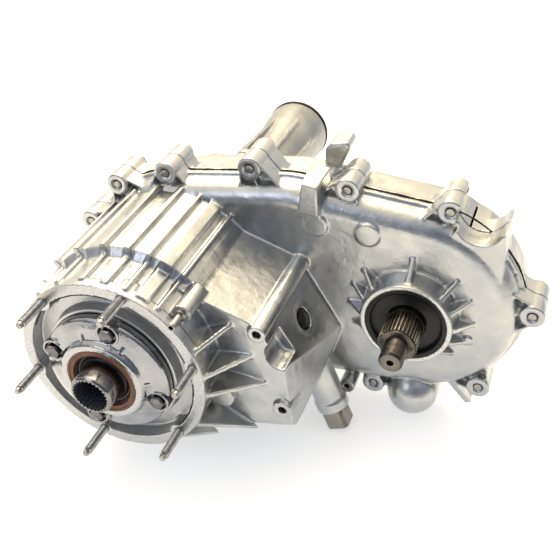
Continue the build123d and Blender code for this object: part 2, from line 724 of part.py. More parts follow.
    late = [ring(OUT_RIM_Y, OUT_BRG_BACK + WALL, OUT_COLLAR_R, OUTPUT_BRG[1] - 4, OUT_X, OUT_Z)]
    late_cuts = [
        cyl(OUT_RIM_Y - 1, OUT_BRG_Y, OUT_SEAL_R, OUT_X, OUT_Z),
        cyl(OUT_RIM_Y, OUT_BRG_BACK, OUTPUT_BRG[1], OUT_X, OUT_Z),
        cyl(OUT_RIM_Y, OUT_BRG_BACK + WALL + 1, OUTPUT_BRG[1] - 4, OUT_X, OUT_Z),
    ]
    for i in range(STUD_COUNT):
        x, z = polar(STUD_PCD_R, STUD_START + i * 360 / STUD_COUNT)
        late.append(cyl(0, FLOOR_Y + 6, STUD_LOBE_R, x, z) & cyl(-1, FLOOR_Y + 8, RING_R))
        late_cuts.append(cyl(-1, STUD_IN, STUD_TAP_R, x, z))
    shell = shell_half(FACE_Y, SEAM_Y, FACE_ROUND, True)
    return shell + adds - cuts + late - late_cuts


def rear_case():
    front = SEAM_Y + SEAL_BEAD
    adds = [
        turned([
            (0, front), (TOWER_R + 8, front), (TOWER_R + 8, CHAIN_BACK_Y - 2), (TOWER_R, CHAIN_BACK_Y + 8),
            (TOWER_R, TOWER_BACK_Y), (0, TOWER_BACK_Y),
        ]),
        turned([
            (0, CHAIN_BACK_WALL), (REAR_HUB_R + 6, CHAIN_BACK_WALL), (REAR_HUB_R, REAR_HUB_Y - 4),
            (REAR_HUB_R - 4, REAR_HUB_Y), (0, REAR_HUB_Y),
        ], OUT_X, OUT_Z),
    ]
    for i in range(REAR_WEBS):
        angle = i * 360 / REAR_WEBS + 15
        profile = [
            (TOWER_R - 3, TOWER_BACK_Y - 10), (TOWER_R + 24, CHAIN_BACK_Y - BACK_ROUND), (TOWER_R - 3, CHAIN_BACK_Y - BACK_ROUND)
        ]
        adds.append(radial_web(profile, GUSSET_T, angle))
        profile = [
            (REAR_HUB_R - 2, REAR_HUB_Y - 2), (OUT_CASE_R - 18, CHAIN_BACK_Y + 1),
            (OUT_CASE_R - 18, CHAIN_BACK_Y - 3), (REAR_HUB_R - 2, CHAIN_BACK_Y - 3),
        ]
        adds.append(radial_web(profile, GUSSET_T, angle, OUT_X, OUT_Z))
    for x, z in extension_places():
        adds.append(cyl(TOWER_BACK_Y - 34, TOWER_BACK_Y, SEAM_BOSS_R, x, z))
    for x, z in PLUG_PLACES:
        adds.append(cyl(CHAIN_BACK_WALL, CHAIN_BACK_Y + PLUG_BOSS_H, PLUG_BOSS_R, x, z))
    adds.append(slab(lug_face(LUG_REAR), SEAM_Y + LUG_STEP, SEAM_Y + LUG_STEP + LUG_L))
    adds.append(cradle(front, SEAM_Y + CRADLE_L))
    foot = OUT_CASE_R - 20
    tip = OUT_CASE_R + FOOT_WEB_OUT
    web = [(foot, front), (tip, front), (tip, SEAM_Y + 8), (foot, CHAIN_BACK_Y - 8)]
    adds.append(radial_web(web, FOOT_WEB_T, FOOT_WEB_ANGLE, OUT_X, OUT_Z))
    dome = case_at(DOME_ANGLE, DOME_OUT)
    adds.append(cyl(front, DOME_BACK, DOME_R, *dome))
    for place in SEAM_BOLTS:
        adds.append(seam_boss(*place, front, SEAM_BOSS_BACK, False))
    cuts = [
        chain_room(front - 1, CHAIN_BACK_WALL, BACK_ROUND - WALL, False),
        cyl(front - 1, DOME_BACK - DOME_WALL, DOME_R - DOME_WALL, *dome),
        cradle_groove(),
    ]
    late = [
        cyl(NEEDLE_Y - 2, CHAIN_BACK_Y, NEEDLE_BOSS_R, OUT_X, OUT_Z),
        cyl(RAIL_BACK_Y - 12, CHAIN_BACK_Y - 1, RAIL_BOSS_R, RAIL_X, RAIL_Z),
    ]
    late_cuts = [
        cyl(CHAIN_BACK_WALL - 1, REAR_BRG_Y, REAR_SHOULDER_R),
        cyl(REAR_BRG_Y, REAR_BRG_BACK + 1, REAR_BRG[1]),
        cyl(REAR_BRG_BACK, TOWER_BACK_Y + 1, PUMP_R),
        cyl(CHAIN_BACK_WALL - 1, REAR_BRG_BACK + 1, PICKUP_R, 0, PICKUP_Z),
        cyl(NEEDLE_Y - 3, NEEDLE_BACK, OUT_REAR_R + OUT_NEEDLE_WALL + RUN, OUT_X, OUT_Z),
        cyl(RAIL_BACK_Y - 13, RAIL_BACK_Y, RAIL_R, RAIL_X, RAIL_Z),
    ]
    for x, z in PLUG_PLACES:
        late_cuts.append(cyl(CHAIN_BACK_WALL - 1, CHAIN_BACK_Y + PLUG_BOSS_H + 1, PLUG_R, x, z))
    for x, z in extension_places():
        late_cuts.append(cyl(TOWER_BACK_Y - 18, TOWER_BACK_Y + 1, BOLT_M8, x, z))
    late_cuts += seam_holes(front - 1, SEAM_BOSS_BACK + 1)
    late_cuts += [cyl(SEAM_BOSS_BACK, CHAIN_BACK_Y, M8_WASHER_R + 2, *seam_point(*place)) for place in SEAM_BOLTS]
    late_cuts += dowel_pins(front - 1, SEAM_Y + DOWEL_L)
    shell = shell_half(front, CHAIN_BACK_Y, BACK_ROUND, False)
    return shell + adds - cuts + late - late_cuts


def case_sealant():
    """The cured beads of the two case joints: the seam and the extension's flange."""
    seam = slab(belt(SEAM_LIP - 0.5), SEAM_Y, SEAM_Y + SEAL_BEAD)
    seam -= [slab(belt(-WALL), SEAM_Y - 1, SEAM_Y + 1), *dowel_pins(SEAM_Y - 1, SEAM_Y + 1), *seam_holes(SEAM_Y - 1, SEAM_Y + 1)]
    seam -= cradle_groove()
    flange = ring(TOWER_BACK_Y, TOWER_BACK_Y + SEAL_BEAD, TOWER_R, PUMP_R)
    flange -= [cyl(TOWER_BACK_Y - 1, TOWER_BACK_Y + 2, BOLT_M8, x, z) for x, z in extension_places()]
    return Compound(children=[seam, flange])


def extension_places():
    """The (x, z) centres of the extension's bolts."""
    return [polar(EXT_BOLT_R, EXT_START + i * 360 / EXT_BOLTS) for i in range(EXT_BOLTS)]


def case_dowels():
    return Compound(children=dowel_pins(SEAM_Y - DOWEL_L, SEAM_Y + DOWEL_L))


def flange_bolt(seat_y, tip_y, towards, x, z):
    """A hexagon flange bolt: its head lies on the side of its seat that it is driven from."""
    head_y = seat_y + towards * M8_HEAD
    low, high = sorted((seat_y, head_y))
    washer_low, washer_high = sorted((seat_y, seat_y + towards * M8_WASHER_H))
    shank_low, shank_high = sorted((seat_y, tip_y))
    return hex_head(low, high, M8_HEX, x, z) + [
        cyl(washer_low, washer_high, M8_WASHER_R, x, z),
        cyl(shank_low, shank_high, BOLT_M8, x, z),
    ]


def case_bolts():
    tip = SEAM_BOSS_FRONT + BOLT_TIP_IN
    bolts = [flange_bolt(SEAM_BOSS_BACK, tip, 1, *seam_point(*place)) for place in SEAM_BOLTS]
    return Compound(children=bolts)


def retainer_bolts():
    seat = HUB_FACE_Y - SEAL_BEAD - RETAINER_FLANGE
    tip = HUB_FACE_Y + RETAINER_BOLT_L
    return Compound(children=[
        flange_bolt(seat, tip, -1, *polar(RETAINER_BOLT_R, a)) for a in RETAINER_BOLT_ANGLES
    ])


def extension_bolts():
    seat = TOWER_BACK_Y + SEAL_BEAD + EXT_FLANGE
    tip = TOWER_BACK_Y - 16
    return Compound(children=[flange_bolt(seat, tip, 1, x, z) for x, z in extension_places()])


def input_studs():
    places = [polar(STUD_PCD_R, STUD_START + i * 360 / STUD_COUNT) for i in range(STUD_COUNT)]
    return Compound(children=[
        cyl(-STUD_OUT + 1.5, 0, STUD_R, x, z) + [
            cyl(-STUD_OUT, -STUD_OUT + 2, STUD_R - 1, x, z), cyl(-1, STUD_IN, STUD_TAP_R, x, z),
        ]
        for x, z in places
    ])


def input_retainer():
    back = HUB_FACE_Y - SEAL_BEAD
    front = back - RETAINER_FLANGE
    step = RETAINER_LIP_Y + SEAL_W
    body = turned([
        (SEAL_R, RETAINER_LIP_Y), (SEAL_LIP_R - 1.5, RETAINER_LIP_Y), (SEAL_LIP_R, RETAINER_LIP_Y + 1.5),
        (SEAL_LIP_R + 2, front - 6), (RETAINER_R - 9, front - 3), (RETAINER_R - 1.5, front), (RETAINER_R, front + 2),
        (RETAINER_R, back), (SEAL_R + 1, back), (SEAL_R + 1, step + 4), (SEAL_R - 6, step + 4), (SEAL_R - 6, step),
        (SEAL_R, step),
    ])
    adds = []
    cuts = []
    for i in range(RETAINER_RIBS):
        rib = [(SEAL_LIP_R - 2, RETAINER_LIP_Y + 2), (SEAL_LIP_R - 2, back), (RETAINER_R - 4, back), (RETAINER_R - 4, front)]
        adds.append(radial_web(rib, RETAINER_RIB_T, RETAINER_RIB_START + i * 360 / RETAINER_RIBS))
    for angle in RETAINER_BOLT_ANGLES:
        x, z = polar(RETAINER_BOLT_R, angle)
        adds.append(cyl(front - EAR_H, back, EAR_R, x, z))
        cuts.append(cyl(front - 14, front, M8_WASHER_R + 0.6, x, z))
        cuts.append(cyl(front - 1, back + 1, BOLT_M8, x, z))
    return body + adds - cuts - cyl(RETAINER_LIP_Y - 1, step, SEAL_R)


def retainer_sealant():
    bead = ring(HUB_FACE_Y - SEAL_BEAD, HUB_FACE_Y, RETAINER_R + 0.6, INPUT_BRG[1] + 1)
    return bead - [cyl(-1, HUB_FACE_Y + 1, BOLT_M8, *polar(RETAINER_BOLT_R, a)) for a in RETAINER_BOLT_ANGLES]


def lip_seal(y0, width, r_out, r_shaft, x=0.0, z=0.0, towards=-1):
    """A rotary lip seal: a cased ring whose lip reaches in to the shaft from its outer face."""
    inner = r_shaft + RUN
    face, back = (y0, y0 + width) if towards < 0 else (y0 + width, y0)
    step = 1 if towards < 0 else -1
    return turned([
        (r_out, face), (r_out - 2, face), (r_out - 3, face + step), (inner + 3, face + step),
        (inner + 1.5, face + 2 * step), (inner, face + 3 * step), (inner, face + 4.5 * step),
        (inner + 3, back - 2 * step), (r_out - 3, back - 2 * step), (r_out - 3, back), (r_out, back),
    ], x, z)


def input_seal():
    return lip_seal(RETAINER_LIP_Y, SEAL_W, SEAL_R, NOSE_R)


def output_seal():
    return lip_seal(OUT_RIM_Y + 1, OUT_SEAL_W, OUT_SEAL_R, OUTPUT_BRG[0], OUT_X, OUT_Z)


def race(sizes, y0, outer, x=0.0, z=0.0):
    """One ring of a ball bearing, with the groove that its balls run in."""
    bore, rim, width = sizes
    wall = RACE_SHARE * (rim - bore)
    blank = ring(y0, y0 + width, rim, rim - wall, x, z) if outer else ring(y0, y0 + width, bore + wall, bore, x, z)
    groove = Torus((bore + rim) / 2, ball_radius(sizes) + RUN)
    return blank - Pos(x, y0 + width / 2, z) * Rot(90, 0, 0) * groove


def ball_radius(sizes):
    """The ball that fills the gap between the races and both grooves."""
    bore, rim, _ = sizes
    return (rim - bore) * (1 - 2 * RACE_SHARE) / 2 + GROOVE - RUN


def balls(sizes, y0, x=0.0, z=0.0):
    """The balls of one bearing, as separate solids."""
    bore, rim, width = sizes
    places = [polar((bore + rim) / 2, i * 360 / BALLS, x, z) for i in range(BALLS)]
    return Compound(children=[Pos(bx, y0 + width / 2, bz) * Sphere(ball_radius(sizes)) for bx, bz in places])


def gear_face(teeth, phase=0.0):
    """The outline of an external gear of the planetary set."""
    pitch_r = MODULE * teeth / 2
    return toothed(teeth, pitch_r - DEDENDUM, pitch_r + ADDENDUM, TOOTH_ROOT, TOOTH_TIP, phase)


def input_shaft():
    body = turned([
        (0, NOSE_Y), (NOSE_R - 2, NOSE_Y), (NOSE_R, NOSE_Y + 2), (NOSE_R, -3), (INPUT_BRG[0], -1),
        (INPUT_BRG[0], INPUT_BRG_BACK), (COLLAR_R, INPUT_BRG_BACK), (COLLAR_R, SUN_Y), (0, SUN_Y),
    ]) + slab(gear_face(SUN_TEETH), SUN_Y, SUN_BACK)
    return body - [
        slab(toothed(SPLINE_IN_TEETH, SPLINE_IN_TIP_R, SPLINE_IN_ROOT_R), NOSE_Y - 1, NOSE_Y + SPLINE_IN_DEPTH),
        ring(HUB_FACE_Y - CIRCLIP_W, HUB_FACE_Y, INPUT_BRG[0] + 1, INPUT_BRG[0] - 1.5),
        cyl(PILOT_Y, HUB_Y, PILOT_R + PILOT_CUP),
        slab(toothed(DOG_TEETH, DOG_ROOT_R + GAP, DOG_TIP_R + GAP, DOG_SPACE[0], DOG_SPACE[1]), HUB_Y - 1, SUN_BACK + 1),
    ]


def circlip(y0, r_in, r_out, x=0.0, z=0.0, gap_angle=90.0):
    """A snap ring with its gap."""
    gap = block(gap_angle, r_in - 2, r_out + 2, CLIP_GAP, y0 - 1, y0 + CIRCLIP_W + 1, x, z)
    return ring(y0, y0 + CIRCLIP_W, r_out, r_in, x, z) - gap


def input_snap_ring():
    return circlip(HUB_FACE_Y - CIRCLIP_W, INPUT_BRG[0] - 1.5, INPUT_BRG[0] + 3)


def ring_gear():
    spaces = toothed(
        RING_TEETH, RING_PITCH_R - ADDENDUM, RING_PITCH_R + DEDENDUM, 1 - TOOTH_TIP, 1 - TOOTH_ROOT, 180 / RING_TEETH
    )
    return cyl(SUN_Y, SUN_BACK, CHAMBER_R) - slab(spaces, SUN_Y - 1, SUN_BACK + 1)


def ring_gear_circlip():
    return circlip(SUN_BACK, CHAMBER_R + CIRCLIP_SEAT - CIRCLIP_H, CHAMBER_R + CIRCLIP_SEAT, gap_angle=200)


def pilot_bearing():
    return ring(PILOT_Y + 1, HUB_Y - 4, PILOT_R + PILOT_CUP, PILOT_R + RUN)


def carrier_pin_places():
    """The planets' centres on the carrier."""
    return [polar(PLANET_R, i * 360 / PLANETS) for i in range(PLANETS)]


def planet_carrier():
    low = CARRIER_FRONT_Y
    high = CARRIER_BACK_Y
    adds = [cyl(high, LOW_DOG_Y, CARRIER_R), cyl(LOW_DOG_Y - 1, LOW_DOG_Y + DOG_L, LOW_DOG_R)]
    for i in range(PLANETS):
        angle = (i + 0.5) * 360 / PLANETS
        post = long_rib(angle, POST_IN_R, CARRIER_R - 1, POST_FOOT, POST_CREST, low + 1, high + 1)
        adds.append(post)
    cuts = [
        cyl(low - 1, low + PLATE + 1, COLLAR_R + RUN),
        cyl(high - 1, LOW_DOG_Y, DOG_TIP_R + 2 * GAP),
        slab(toothed(DOG_TEETH, DOG_TIP_R + 2 * GAP, DOG_TIP_R + 2 * GAP + 2.6, DOG_SPACE[0], DOG_SPACE[1]),
             LOW_DOG_Y - 1, LOW_DOG_Y + DOG_L + 1),
    ]
    for x, z in carrier_pin_places():
        cuts.append(cyl(low - 1, LOW_DOG_Y + 1, PLANET_PIN_R, x, z))
    return cyl(low, low + PLATE, CARRIER_R) + adds - cuts


def planet_pins():
    return Compound(children=[cyl(CARRIER_FRONT_Y, LOW_DOG_Y, PLANET_PIN_R, x, z) for x, z in carrier_pin_places()])


def planet_gear(index):
    """One planet, turned so that its teeth enter those of the sun and of the ring."""
    angle = index * 360 / PLANETS
    sun_step = 360 / SUN_TEETH
    lead = -(angle % sun_step)
    phase = angle + 180 - lead * SUN_TEETH / PLANET_TEETH + 180 / PLANET_TEETH
    x, z = polar(PLANET_R, angle)
    face = Pos(x, z) * gear_face(PLANET_TEETH, phase)
    return slab(face, SUN_Y, SUN_BACK) - cyl(SUN_Y - 1, SUN_BACK + 1, PLANET_PIN_R + RUN, x, z)


def spline_bore(teeth, r_root, r_tip):
    """The outline of a sliding fit over a spline."""
    return toothed(teeth, r_root + RUN, r_tip + RUN, 0.62 + SPLINE_PLAY, 0.34 + SPLINE_PLAY)


def range_hub():
    tube = [
        (0, HUB_Y + DOG_L - 2), (HUB_TUBE_R, HUB_Y + DOG_L - 2), (HUB_TUBE_R, COLLAR_Y), (FORK_COLLAR_R, COLLAR_Y),
        (FORK_COLLAR_R, GROOVE_Y), (FORK_GROOVE_R, GROOVE_Y), (FORK_GROOVE_R, GROOVE_Y + FORK_GROOVE_W),
        (FORK_COLLAR_R, GROOVE_Y + FORK_GROOVE_W), (FORK_COLLAR_R, HUB_BACK_Y), (0, HUB_BACK_Y),
    ]
    dogs = toothed(DOG_TEETH, DOG_ROOT_R, DOG_TIP_R, DOG_TOOTH[0], DOG_TOOTH[1])
    body = slab(dogs, HUB_Y, HUB_Y + DOG_L) + turned(tube)
    return body - slab(spline_bore(MAIN_SPLINE_TEETH, MAIN_ROOT_R, MAIN_TIP_R), HUB_Y - 1, HUB_BACK_Y + 1)


def mainshaft():
    body = turned([
        (0, PILOT_Y + 2), (PILOT_R - 1, PILOT_Y + 2), (PILOT_R, PILOT_Y + 3), (PILOT_R, HUB_Y),
        (MAIN_ROOT_R, HUB_Y), (MAIN_ROOT_R, SPROCKET_Y - 3), (SPROCKET_JOURNAL_R, SPROCKET_Y - 3),
        (SPROCKET_JOURNAL_R, MODE_HUB_Y), (MODE_SPLINE_ROOT_R, MODE_HUB_Y),
        (MODE_SPLINE_ROOT_R, MODE_HUB_Y + MODE_HUB_W), (MAIN_SHOULDER_R, MODE_HUB_Y + MODE_HUB_W),
        (MAIN_SHOULDER_R, REAR_BRG_Y), (REAR_BRG[0], REAR_BRG_Y), (REAR_BRG[0], REAR_BRG_BACK),
        (TAIL_SHAFT_R, REAR_BRG_BACK + 0.5), (TAIL_SHAFT_R, TAIL_SPLINE_Y), (TAIL_SPLINE_ROOT_R, TAIL_SPLINE_Y + 2),
        (TAIL_SPLINE_ROOT_R, MAIN_END_Y), (0, MAIN_END_Y),
    ])
    return body + [
        slab(toothed(MAIN_SPLINE_TEETH, MAIN_ROOT_R, MAIN_TIP_R), HUB_Y, SPROCKET_Y - 3),
        slab(toothed(MODE_SPLINE_TEETH, MODE_SPLINE_ROOT_R, MODE_SPLINE_TIP_R), MODE_HUB_Y, MODE_HUB_Y + MODE_HUB_W),
        slab(toothed(TAIL_SPLINE_TEETH, TAIL_SPLINE_ROOT_R, TAIL_SPLINE_R), TAIL_SPLINE_Y, MAIN_END_Y - 2),
    ]


def sprocket(x, z, bore):
    """A chain wheel for toothed links, with a thinner web between hub and rim."""
    root = SPROCKET_R - TOOTH_IN
    wheel = toothed(SPROCKET_TEETH, root, root + TOOTH_H, 0.55, 0.3, CENTRES_ANGLE + 90)
    body = slab(Pos(x, z) * wheel, SPROCKET_Y, SPROCKET_BACK_Y)
    waist = ring(SPROCKET_Y - 1, SPROCKET_Y + WEB_IN, root - 8, bore + 14, x, z)
    back_waist = ring(SPROCKET_BACK_Y - WEB_IN, SPROCKET_BACK_Y + 1, root - 8, bore + 14, x, z)
    return body - [waist, back_waist, cyl(SPROCKET_Y - 1, SPROCKET_BACK_Y + 1, bore, x, z)]


def drive_sprocket():
    bore = SPROCKET_JOURNAL_R + RUN
    dogs = toothed(MODE_TEETH, MODE_ROOT_R, MODE_TIP_R)
    ring_of_dogs = slab(dogs, MODE_DOG_BACK - MODE_DOG_L, MODE_DOG_BACK)
    neck = cyl(SPROCKET_BACK_Y - 1, MODE_DOG_BACK, MODE_ROOT_R - 1)
    bored = [ring_of_dogs, neck]
    return sprocket(0, 0, bore) + bored - cyl(SPROCKET_Y - 1, MODE_DOG_BACK + 1, bore)


def driven_sprocket():
    return sprocket(OUT_X, OUT_Z, OUT_HUB_R)


def mode_hub():
    body = slab(toothed(MODE_TEETH, MODE_ROOT_R, MODE_TIP_R), MODE_HUB_Y, MODE_HUB_Y + MODE_HUB_W)
    bore = toothed(MODE_SPLINE_TEETH, MODE_SPLINE_ROOT_R, MODE_SPLINE_TIP_R)
    return body - [
        slab(bore, MODE_HUB_Y - 1, MODE_HUB_Y + MODE_HUB_W + 1),
        cyl(MODE_HUB_Y - 1, MODE_HUB_Y + MODE_HUB_W + 1, MODE_SPLINE_ROOT_R),
    ]


def mode_sleeve():
    groove_y = MODE_SLEEVE_Y + (MODE_SLEEVE_W - MODE_GROOVE_W) / 2
    body = cyl(MODE_SLEEVE_Y, MODE_SLEEVE_Y + MODE_SLEEVE_W, MODE_SLEEVE_R)
    bore = spline_bore(MODE_TEETH, MODE_ROOT_R, MODE_TIP_R)
    return body - [
        ring(groove_y, groove_y + MODE_GROOVE_W, MODE_SLEEVE_R + 1, MODE_GROOVE_R),
        slab(bore, MODE_SLEEVE_Y - 1, MODE_SLEEVE_Y + MODE_SLEEVE_W + 1),
    ]


def fork(groove_r, collar_r, y0, y1, boss_y0, boss_y1):
    """A shift fork: a C that sits in a sleeve's groove, its arm and its boss on the rail."""
    angle = degrees(atan2(RAIL_Z, RAIL_X))
    rail_r = hypot(RAIL_X, RAIL_Z)
    inner = groove_r + GAP
    yoke = ring(y0 + GAP, y1 - GAP, collar_r + FORK_RIM, inner)
    mouth = block(angle + 180, -FORK_MOUTH, collar_r + FORK_RIM + 2, 4 * collar_r, y0 - 1, y1 + 1)
    arm_low = (boss_y0 + boss_y1) / 2 - FORK_ARM_T / 2
    arm = [
        (collar_r + 2, y0 + GAP), (rail_r - 2, arm_low), (rail_r - 2, arm_low + FORK_ARM_T),
        (collar_r + 2, y1 - GAP),
    ]
    web = radial_web(arm, FORK_ARM_W, angle)
    boss = cyl(boss_y0, boss_y1, FORK_BOSS_R, RAIL_X, RAIL_Z)
    return (yoke - mouth) + [web, boss] - cyl(boss_y0 - 1, boss_y1 + 1, RAIL_R + RUN, RAIL_X, RAIL_Z)


def range_fork():
    body = fork(
        FORK_GROOVE_R, FORK_COLLAR_R, GROOVE_Y, GROOVE_Y + FORK_GROOVE_W, FORK_REST_Y - 14, FORK_REST_Y + 14
    )
    pin = Cylinder(FORK_PIN_R, SECTOR_OFFSET + SECTOR_PLATE - RAIL_R - 2, align=(Align.CENTER, Align.CENTER, Align.MIN))
    foot = Vector(RAIL_X, FORK_REST_Y, RAIL_Z) + SECTOR_DIR * (RAIL_R + 2)
    return body + Plane(origin=foot, z_dir=SECTOR_DIR).location * pin


def mode_fork():
    groove_y = MODE_SLEEVE_Y + (MODE_SLEEVE_W - MODE_GROOVE_W) / 2
    return fork(
        MODE_GROOVE_R, MODE_SLEEVE_R, groove_y, groove_y + MODE_GROOVE_W, MODE_FORK_Y, MODE_FORK_Y + MODE_FORK_L
    )


def shift_rail():
    return cyl(RAIL_Y, RAIL_BACK_Y, RAIL_R, RAIL_X, RAIL_Z)


def sector_shaft():
    slot_r = SECTOR_ARM
    far_r = hypot(SECTOR_ARM, RANGE_TRAVEL / 2)
    tip_r = far_r + FORK_PIN_R + 5
    lever = Polyline(
        (0, -SECTOR_HUB_R), (tip_r - 6, -FORK_PIN_R - 5), (tip_r, 0), (tip_r - 6, FORK_PIN_R + 5), (0, SECTOR_HUB_R), close=True
    )
    slot = Pos((slot_r + far_r) / 2, 0) * Rectangle(far_r - slot_r + 2 * FORK_PIN_R + 2, 2 * (FORK_PIN_R + SLOT_PLAY))
    fan_start = -90 - 2 * SECTOR_HALF - FAN_MARGIN
    fan_end = -90 + FAN_MARGIN
    fan = make_face([
        CenterArc((0, 0), DETENT_RIM_R, fan_start, fan_end - fan_start),
        Line(polar(DETENT_RIM_R, fan_end), (0, 0)),
        Line((0, 0), polar(DETENT_RIM_R, fan_start)),
    ])
    arm = Rot(0, 0, -SECTOR_HALF) * (make_face(lever) - slot)
    outline = arm + fan + Circle(SECTOR_HUB_R)
    steps = (0, SECTOR_HALF, SECTOR_HALF * 2)
    for step in steps:
        x, y = polar(DETENT_RIM_R, -90 - step)
        outline -= Pos(x, y) * Circle(DETENT_NOTCH)
    plate = SECTOR_PLANE.offset(-SECTOR_PLATE / 2).location * extrude(outline, amount=SECTOR_PLATE)
    stub_start = SECTOR_BOSS_END + 1.5 + GAP
    flats = Rectangle(SECTOR_FLAT, SECTOR_FLAT) & Circle(SECTOR_STUB_R)
    stub = SECTOR_PLANE.offset(stub_start).location * extrude(flats, amount=SECTOR_STUB)
    return plate + [sector_bar(SECTOR_SHAFT_R, -SECTOR_PLATE / 2, stub_start + 1), stub]


def sector_seal():
    end = SECTOR_BOSS_END + 1.5
    start = end - SECTOR_SEAL_W
    return sector_bar(SECTOR_SEAL_R, start, end) - sector_bar(SECTOR_SHAFT_R + GAP, start - 1, end + 1)


def detent_plunger():
    tip = SECTOR_Y - DETENT_RIM_R - GAP
    x, z = SECTOR_AT.X, SECTOR_AT.Z
    return cyl(tip - DETENT_L, tip - DETENT_NOTCH, DETENT_R, x, z) + cyl(tip - DETENT_NOTCH - 1, tip, DETENT_R / 2, x, z)


def detent_spring():
    x, z = SECTOR_AT.X, SECTOR_AT.Z
    coil_r = DETENT_R - SPRING_WIRE - 0.6
    start = DETENT_BORE_Y + SPRING_WIRE
    length = SECTOR_Y - DETENT_RIM_R - GAP - DETENT_L - start - SPRING_WIRE
    wire = sweep(
        Plane(origin=(coil_r, 0, 0), z_dir=(0, 1, 0.3)) * Circle(SPRING_WIRE),
        path=Helix(pitch=length / SPRING_TURNS, height=length, radius=coil_r),
        is_frenet=True,
    )
    return Pos(x, start, z) * Rot(-90, 0, 0) * wire


def front_output_shaft():
    spline_y = OUT_TIP_Y + OUT_NOSE_L
    spline_end = OUT_RIM_Y - 2
    body = turned([
        (0, OUT_TIP_Y), (OUT_NOSE_R - 2, OUT_TIP_Y), (OUT_NOSE_R, OUT_TIP_Y + 2), (OUT_NOSE_R, spline_y),
        (OUT_SPLINE_ROOT_R, spline_y), (OUT_SPLINE_ROOT_R, spline_end), (OUTPUT_BRG[0], spline_end),
        (OUTPUT_BRG[0], OUT_BRG_BACK), (OUT_COLLAR_IN, OUT_BRG_BACK), (OUT_COLLAR_IN, SPROCKET_Y),
        (OUT_HUB_R, SPROCKET_Y), (OUT_HUB_R, SPROCKET_BACK_Y + 2), (OUT_REAR_R, SPROCKET_BACK_Y + 2),
        (OUT_REAR_R, NEEDLE_BACK - 1), (0, NEEDLE_BACK - 1),
    ], OUT_X, OUT_Z)
    spline = Pos(OUT_X, OUT_Z) * toothed(OUT_SPLINE_TEETH, OUT_SPLINE_ROOT_R, OUT_SPLINE_TIP_R)
    return body + slab(spline, spline_y + 2, spline_end)


def output_needle_bearing():
    r_in = OUT_REAR_R + RUN
    cup = ring(NEEDLE_Y, NEEDLE_BACK - 2, r_in + OUT_NEEDLE_WALL, r_in, OUT_X, OUT_Z)
    groove = ring(NEEDLE_Y + 2, NEEDLE_BACK - 4, r_in + 1.5, r_in - 1, OUT_X, OUT_Z)
    return cup - groove


def chain_link(index):
    """Where a link lies on the chain's loop: its middle (x, z) and its heading."""
    wrap = SPROCKET_TEETH // 2
    span = (LINKS - SPROCKET_TEETH) // 2
    step = 360 / SPROCKET_TEETH
    axis = Vector(cos(radians(CENTRES_ANGLE)), sin(radians(CENTRES_ANGLE)), 0)
    side = Vector(-axis.Y, axis.X, 0)
    if index < wrap:
        angle = CENTRES_ANGLE + 90 + (index + 0.5) * step
        return polar(SPROCKET_R, angle), angle
    index -= wrap
    if index < span:
        at_link = axis * ((index + 0.5) * CHAIN_PITCH) - side * SPROCKET_R
        return (at_link.X, at_link.Y), CENTRES_ANGLE - 90
    index -= span
    if index < wrap:
        angle = CENTRES_ANGLE - 90 + (index + 0.5) * step
        return polar(SPROCKET_R, angle, OUT_X, OUT_Z), angle
    index -= wrap
    at_link = axis * (CENTRES - (index + 0.5) * CHAIN_PITCH) + side * SPROCKET_R
    return (at_link.X, at_link.Y), CENTRES_ANGLE + 90


def drive_chain():
    half = (CHAIN_PITCH - LINK_GAP) / 2
    outline = make_face(Polyline(
        (LINK_BASE, -half), (LINK_BASE + LINK_H, -half + 1), (LINK_BASE + LINK_H, half - 1), (LINK_BASE, half),
        (LINK_BASE, TOE_W / 2 + 0.5), (-TOE_IN, TOE_W / 2), (-TOE_IN, -TOE_W / 2), (LINK_BASE, -TOE_W / 2 - 0.5),
        close=True,
    ))
    link = slab(outline, CHAIN_MID_Y - CHAIN_W / 2 + 0.5, CHAIN_MID_Y + CHAIN_W / 2 - 0.5)
    links = []
    for i in range(LINKS):
        (x, z), angle = chain_link(i)
        links.append(Pos(x, 0, z) * Rot(0, -angle, 0) * link)
    return Compound(children=links)


def oil_pump_housing():
    y0 = REAR_BRG_BACK
    body = ring(y0, y0 + PUMP_W + 2, PUMP_R, MAIN_SHOULDER_R - 2)
    room = cyl(y0 + 2, y0 + PUMP_W, ROTOR_R + GAP)
    return body - [
        room, cyl(y0 - 1, y0 + PUMP_W + 3, REAR_BRG[0] + 1), cyl(y0 - 1, y0 + 1, REAR_BRG[0] + 8),
        cyl(y0 - 1, y0 + 4, PICKUP_R, 0, PICKUP_Z),
    ]


def oil_pump_rotor():
    y0 = REAR_BRG_BACK + 2 + GAP
    return slab(toothed(ROTOR_LOBES, ROTOR_R - 3, ROTOR_R, 0.8, 0.4), y0, y0 + PUMP_W - 2 - 2 * GAP) - cyl(
        y0 - 1, y0 + PUMP_W, TAIL_SHAFT_R
    )


def oil_pickup():
    end_z = -MAIN_CASE_R + WALL + STRAINER[2] + 2
    path = FilletPolyline(
        (0, REAR_BRG_BACK + 4, PICKUP_Z), (0, PICKUP_Y, PICKUP_Z), (0, PICKUP_Y, end_z), radius=PICKUP_BEND
    )
    tube = sweep(Plane(origin=path @ 0, z_dir=path % 0) * Circle(PICKUP_R), path=path)
    strainer = Pos(0, PICKUP_Y, end_z - STRAINER[2] / 2 + 0.5) * Box(*STRAINER)
    return tube + strainer


def oil_magnet():
    return cyl(CHAIN_BACK_WALL - MAGNET_H, CHAIN_BACK_WALL, MAGNET_R, MAGNET_X, MAGNET_Z)


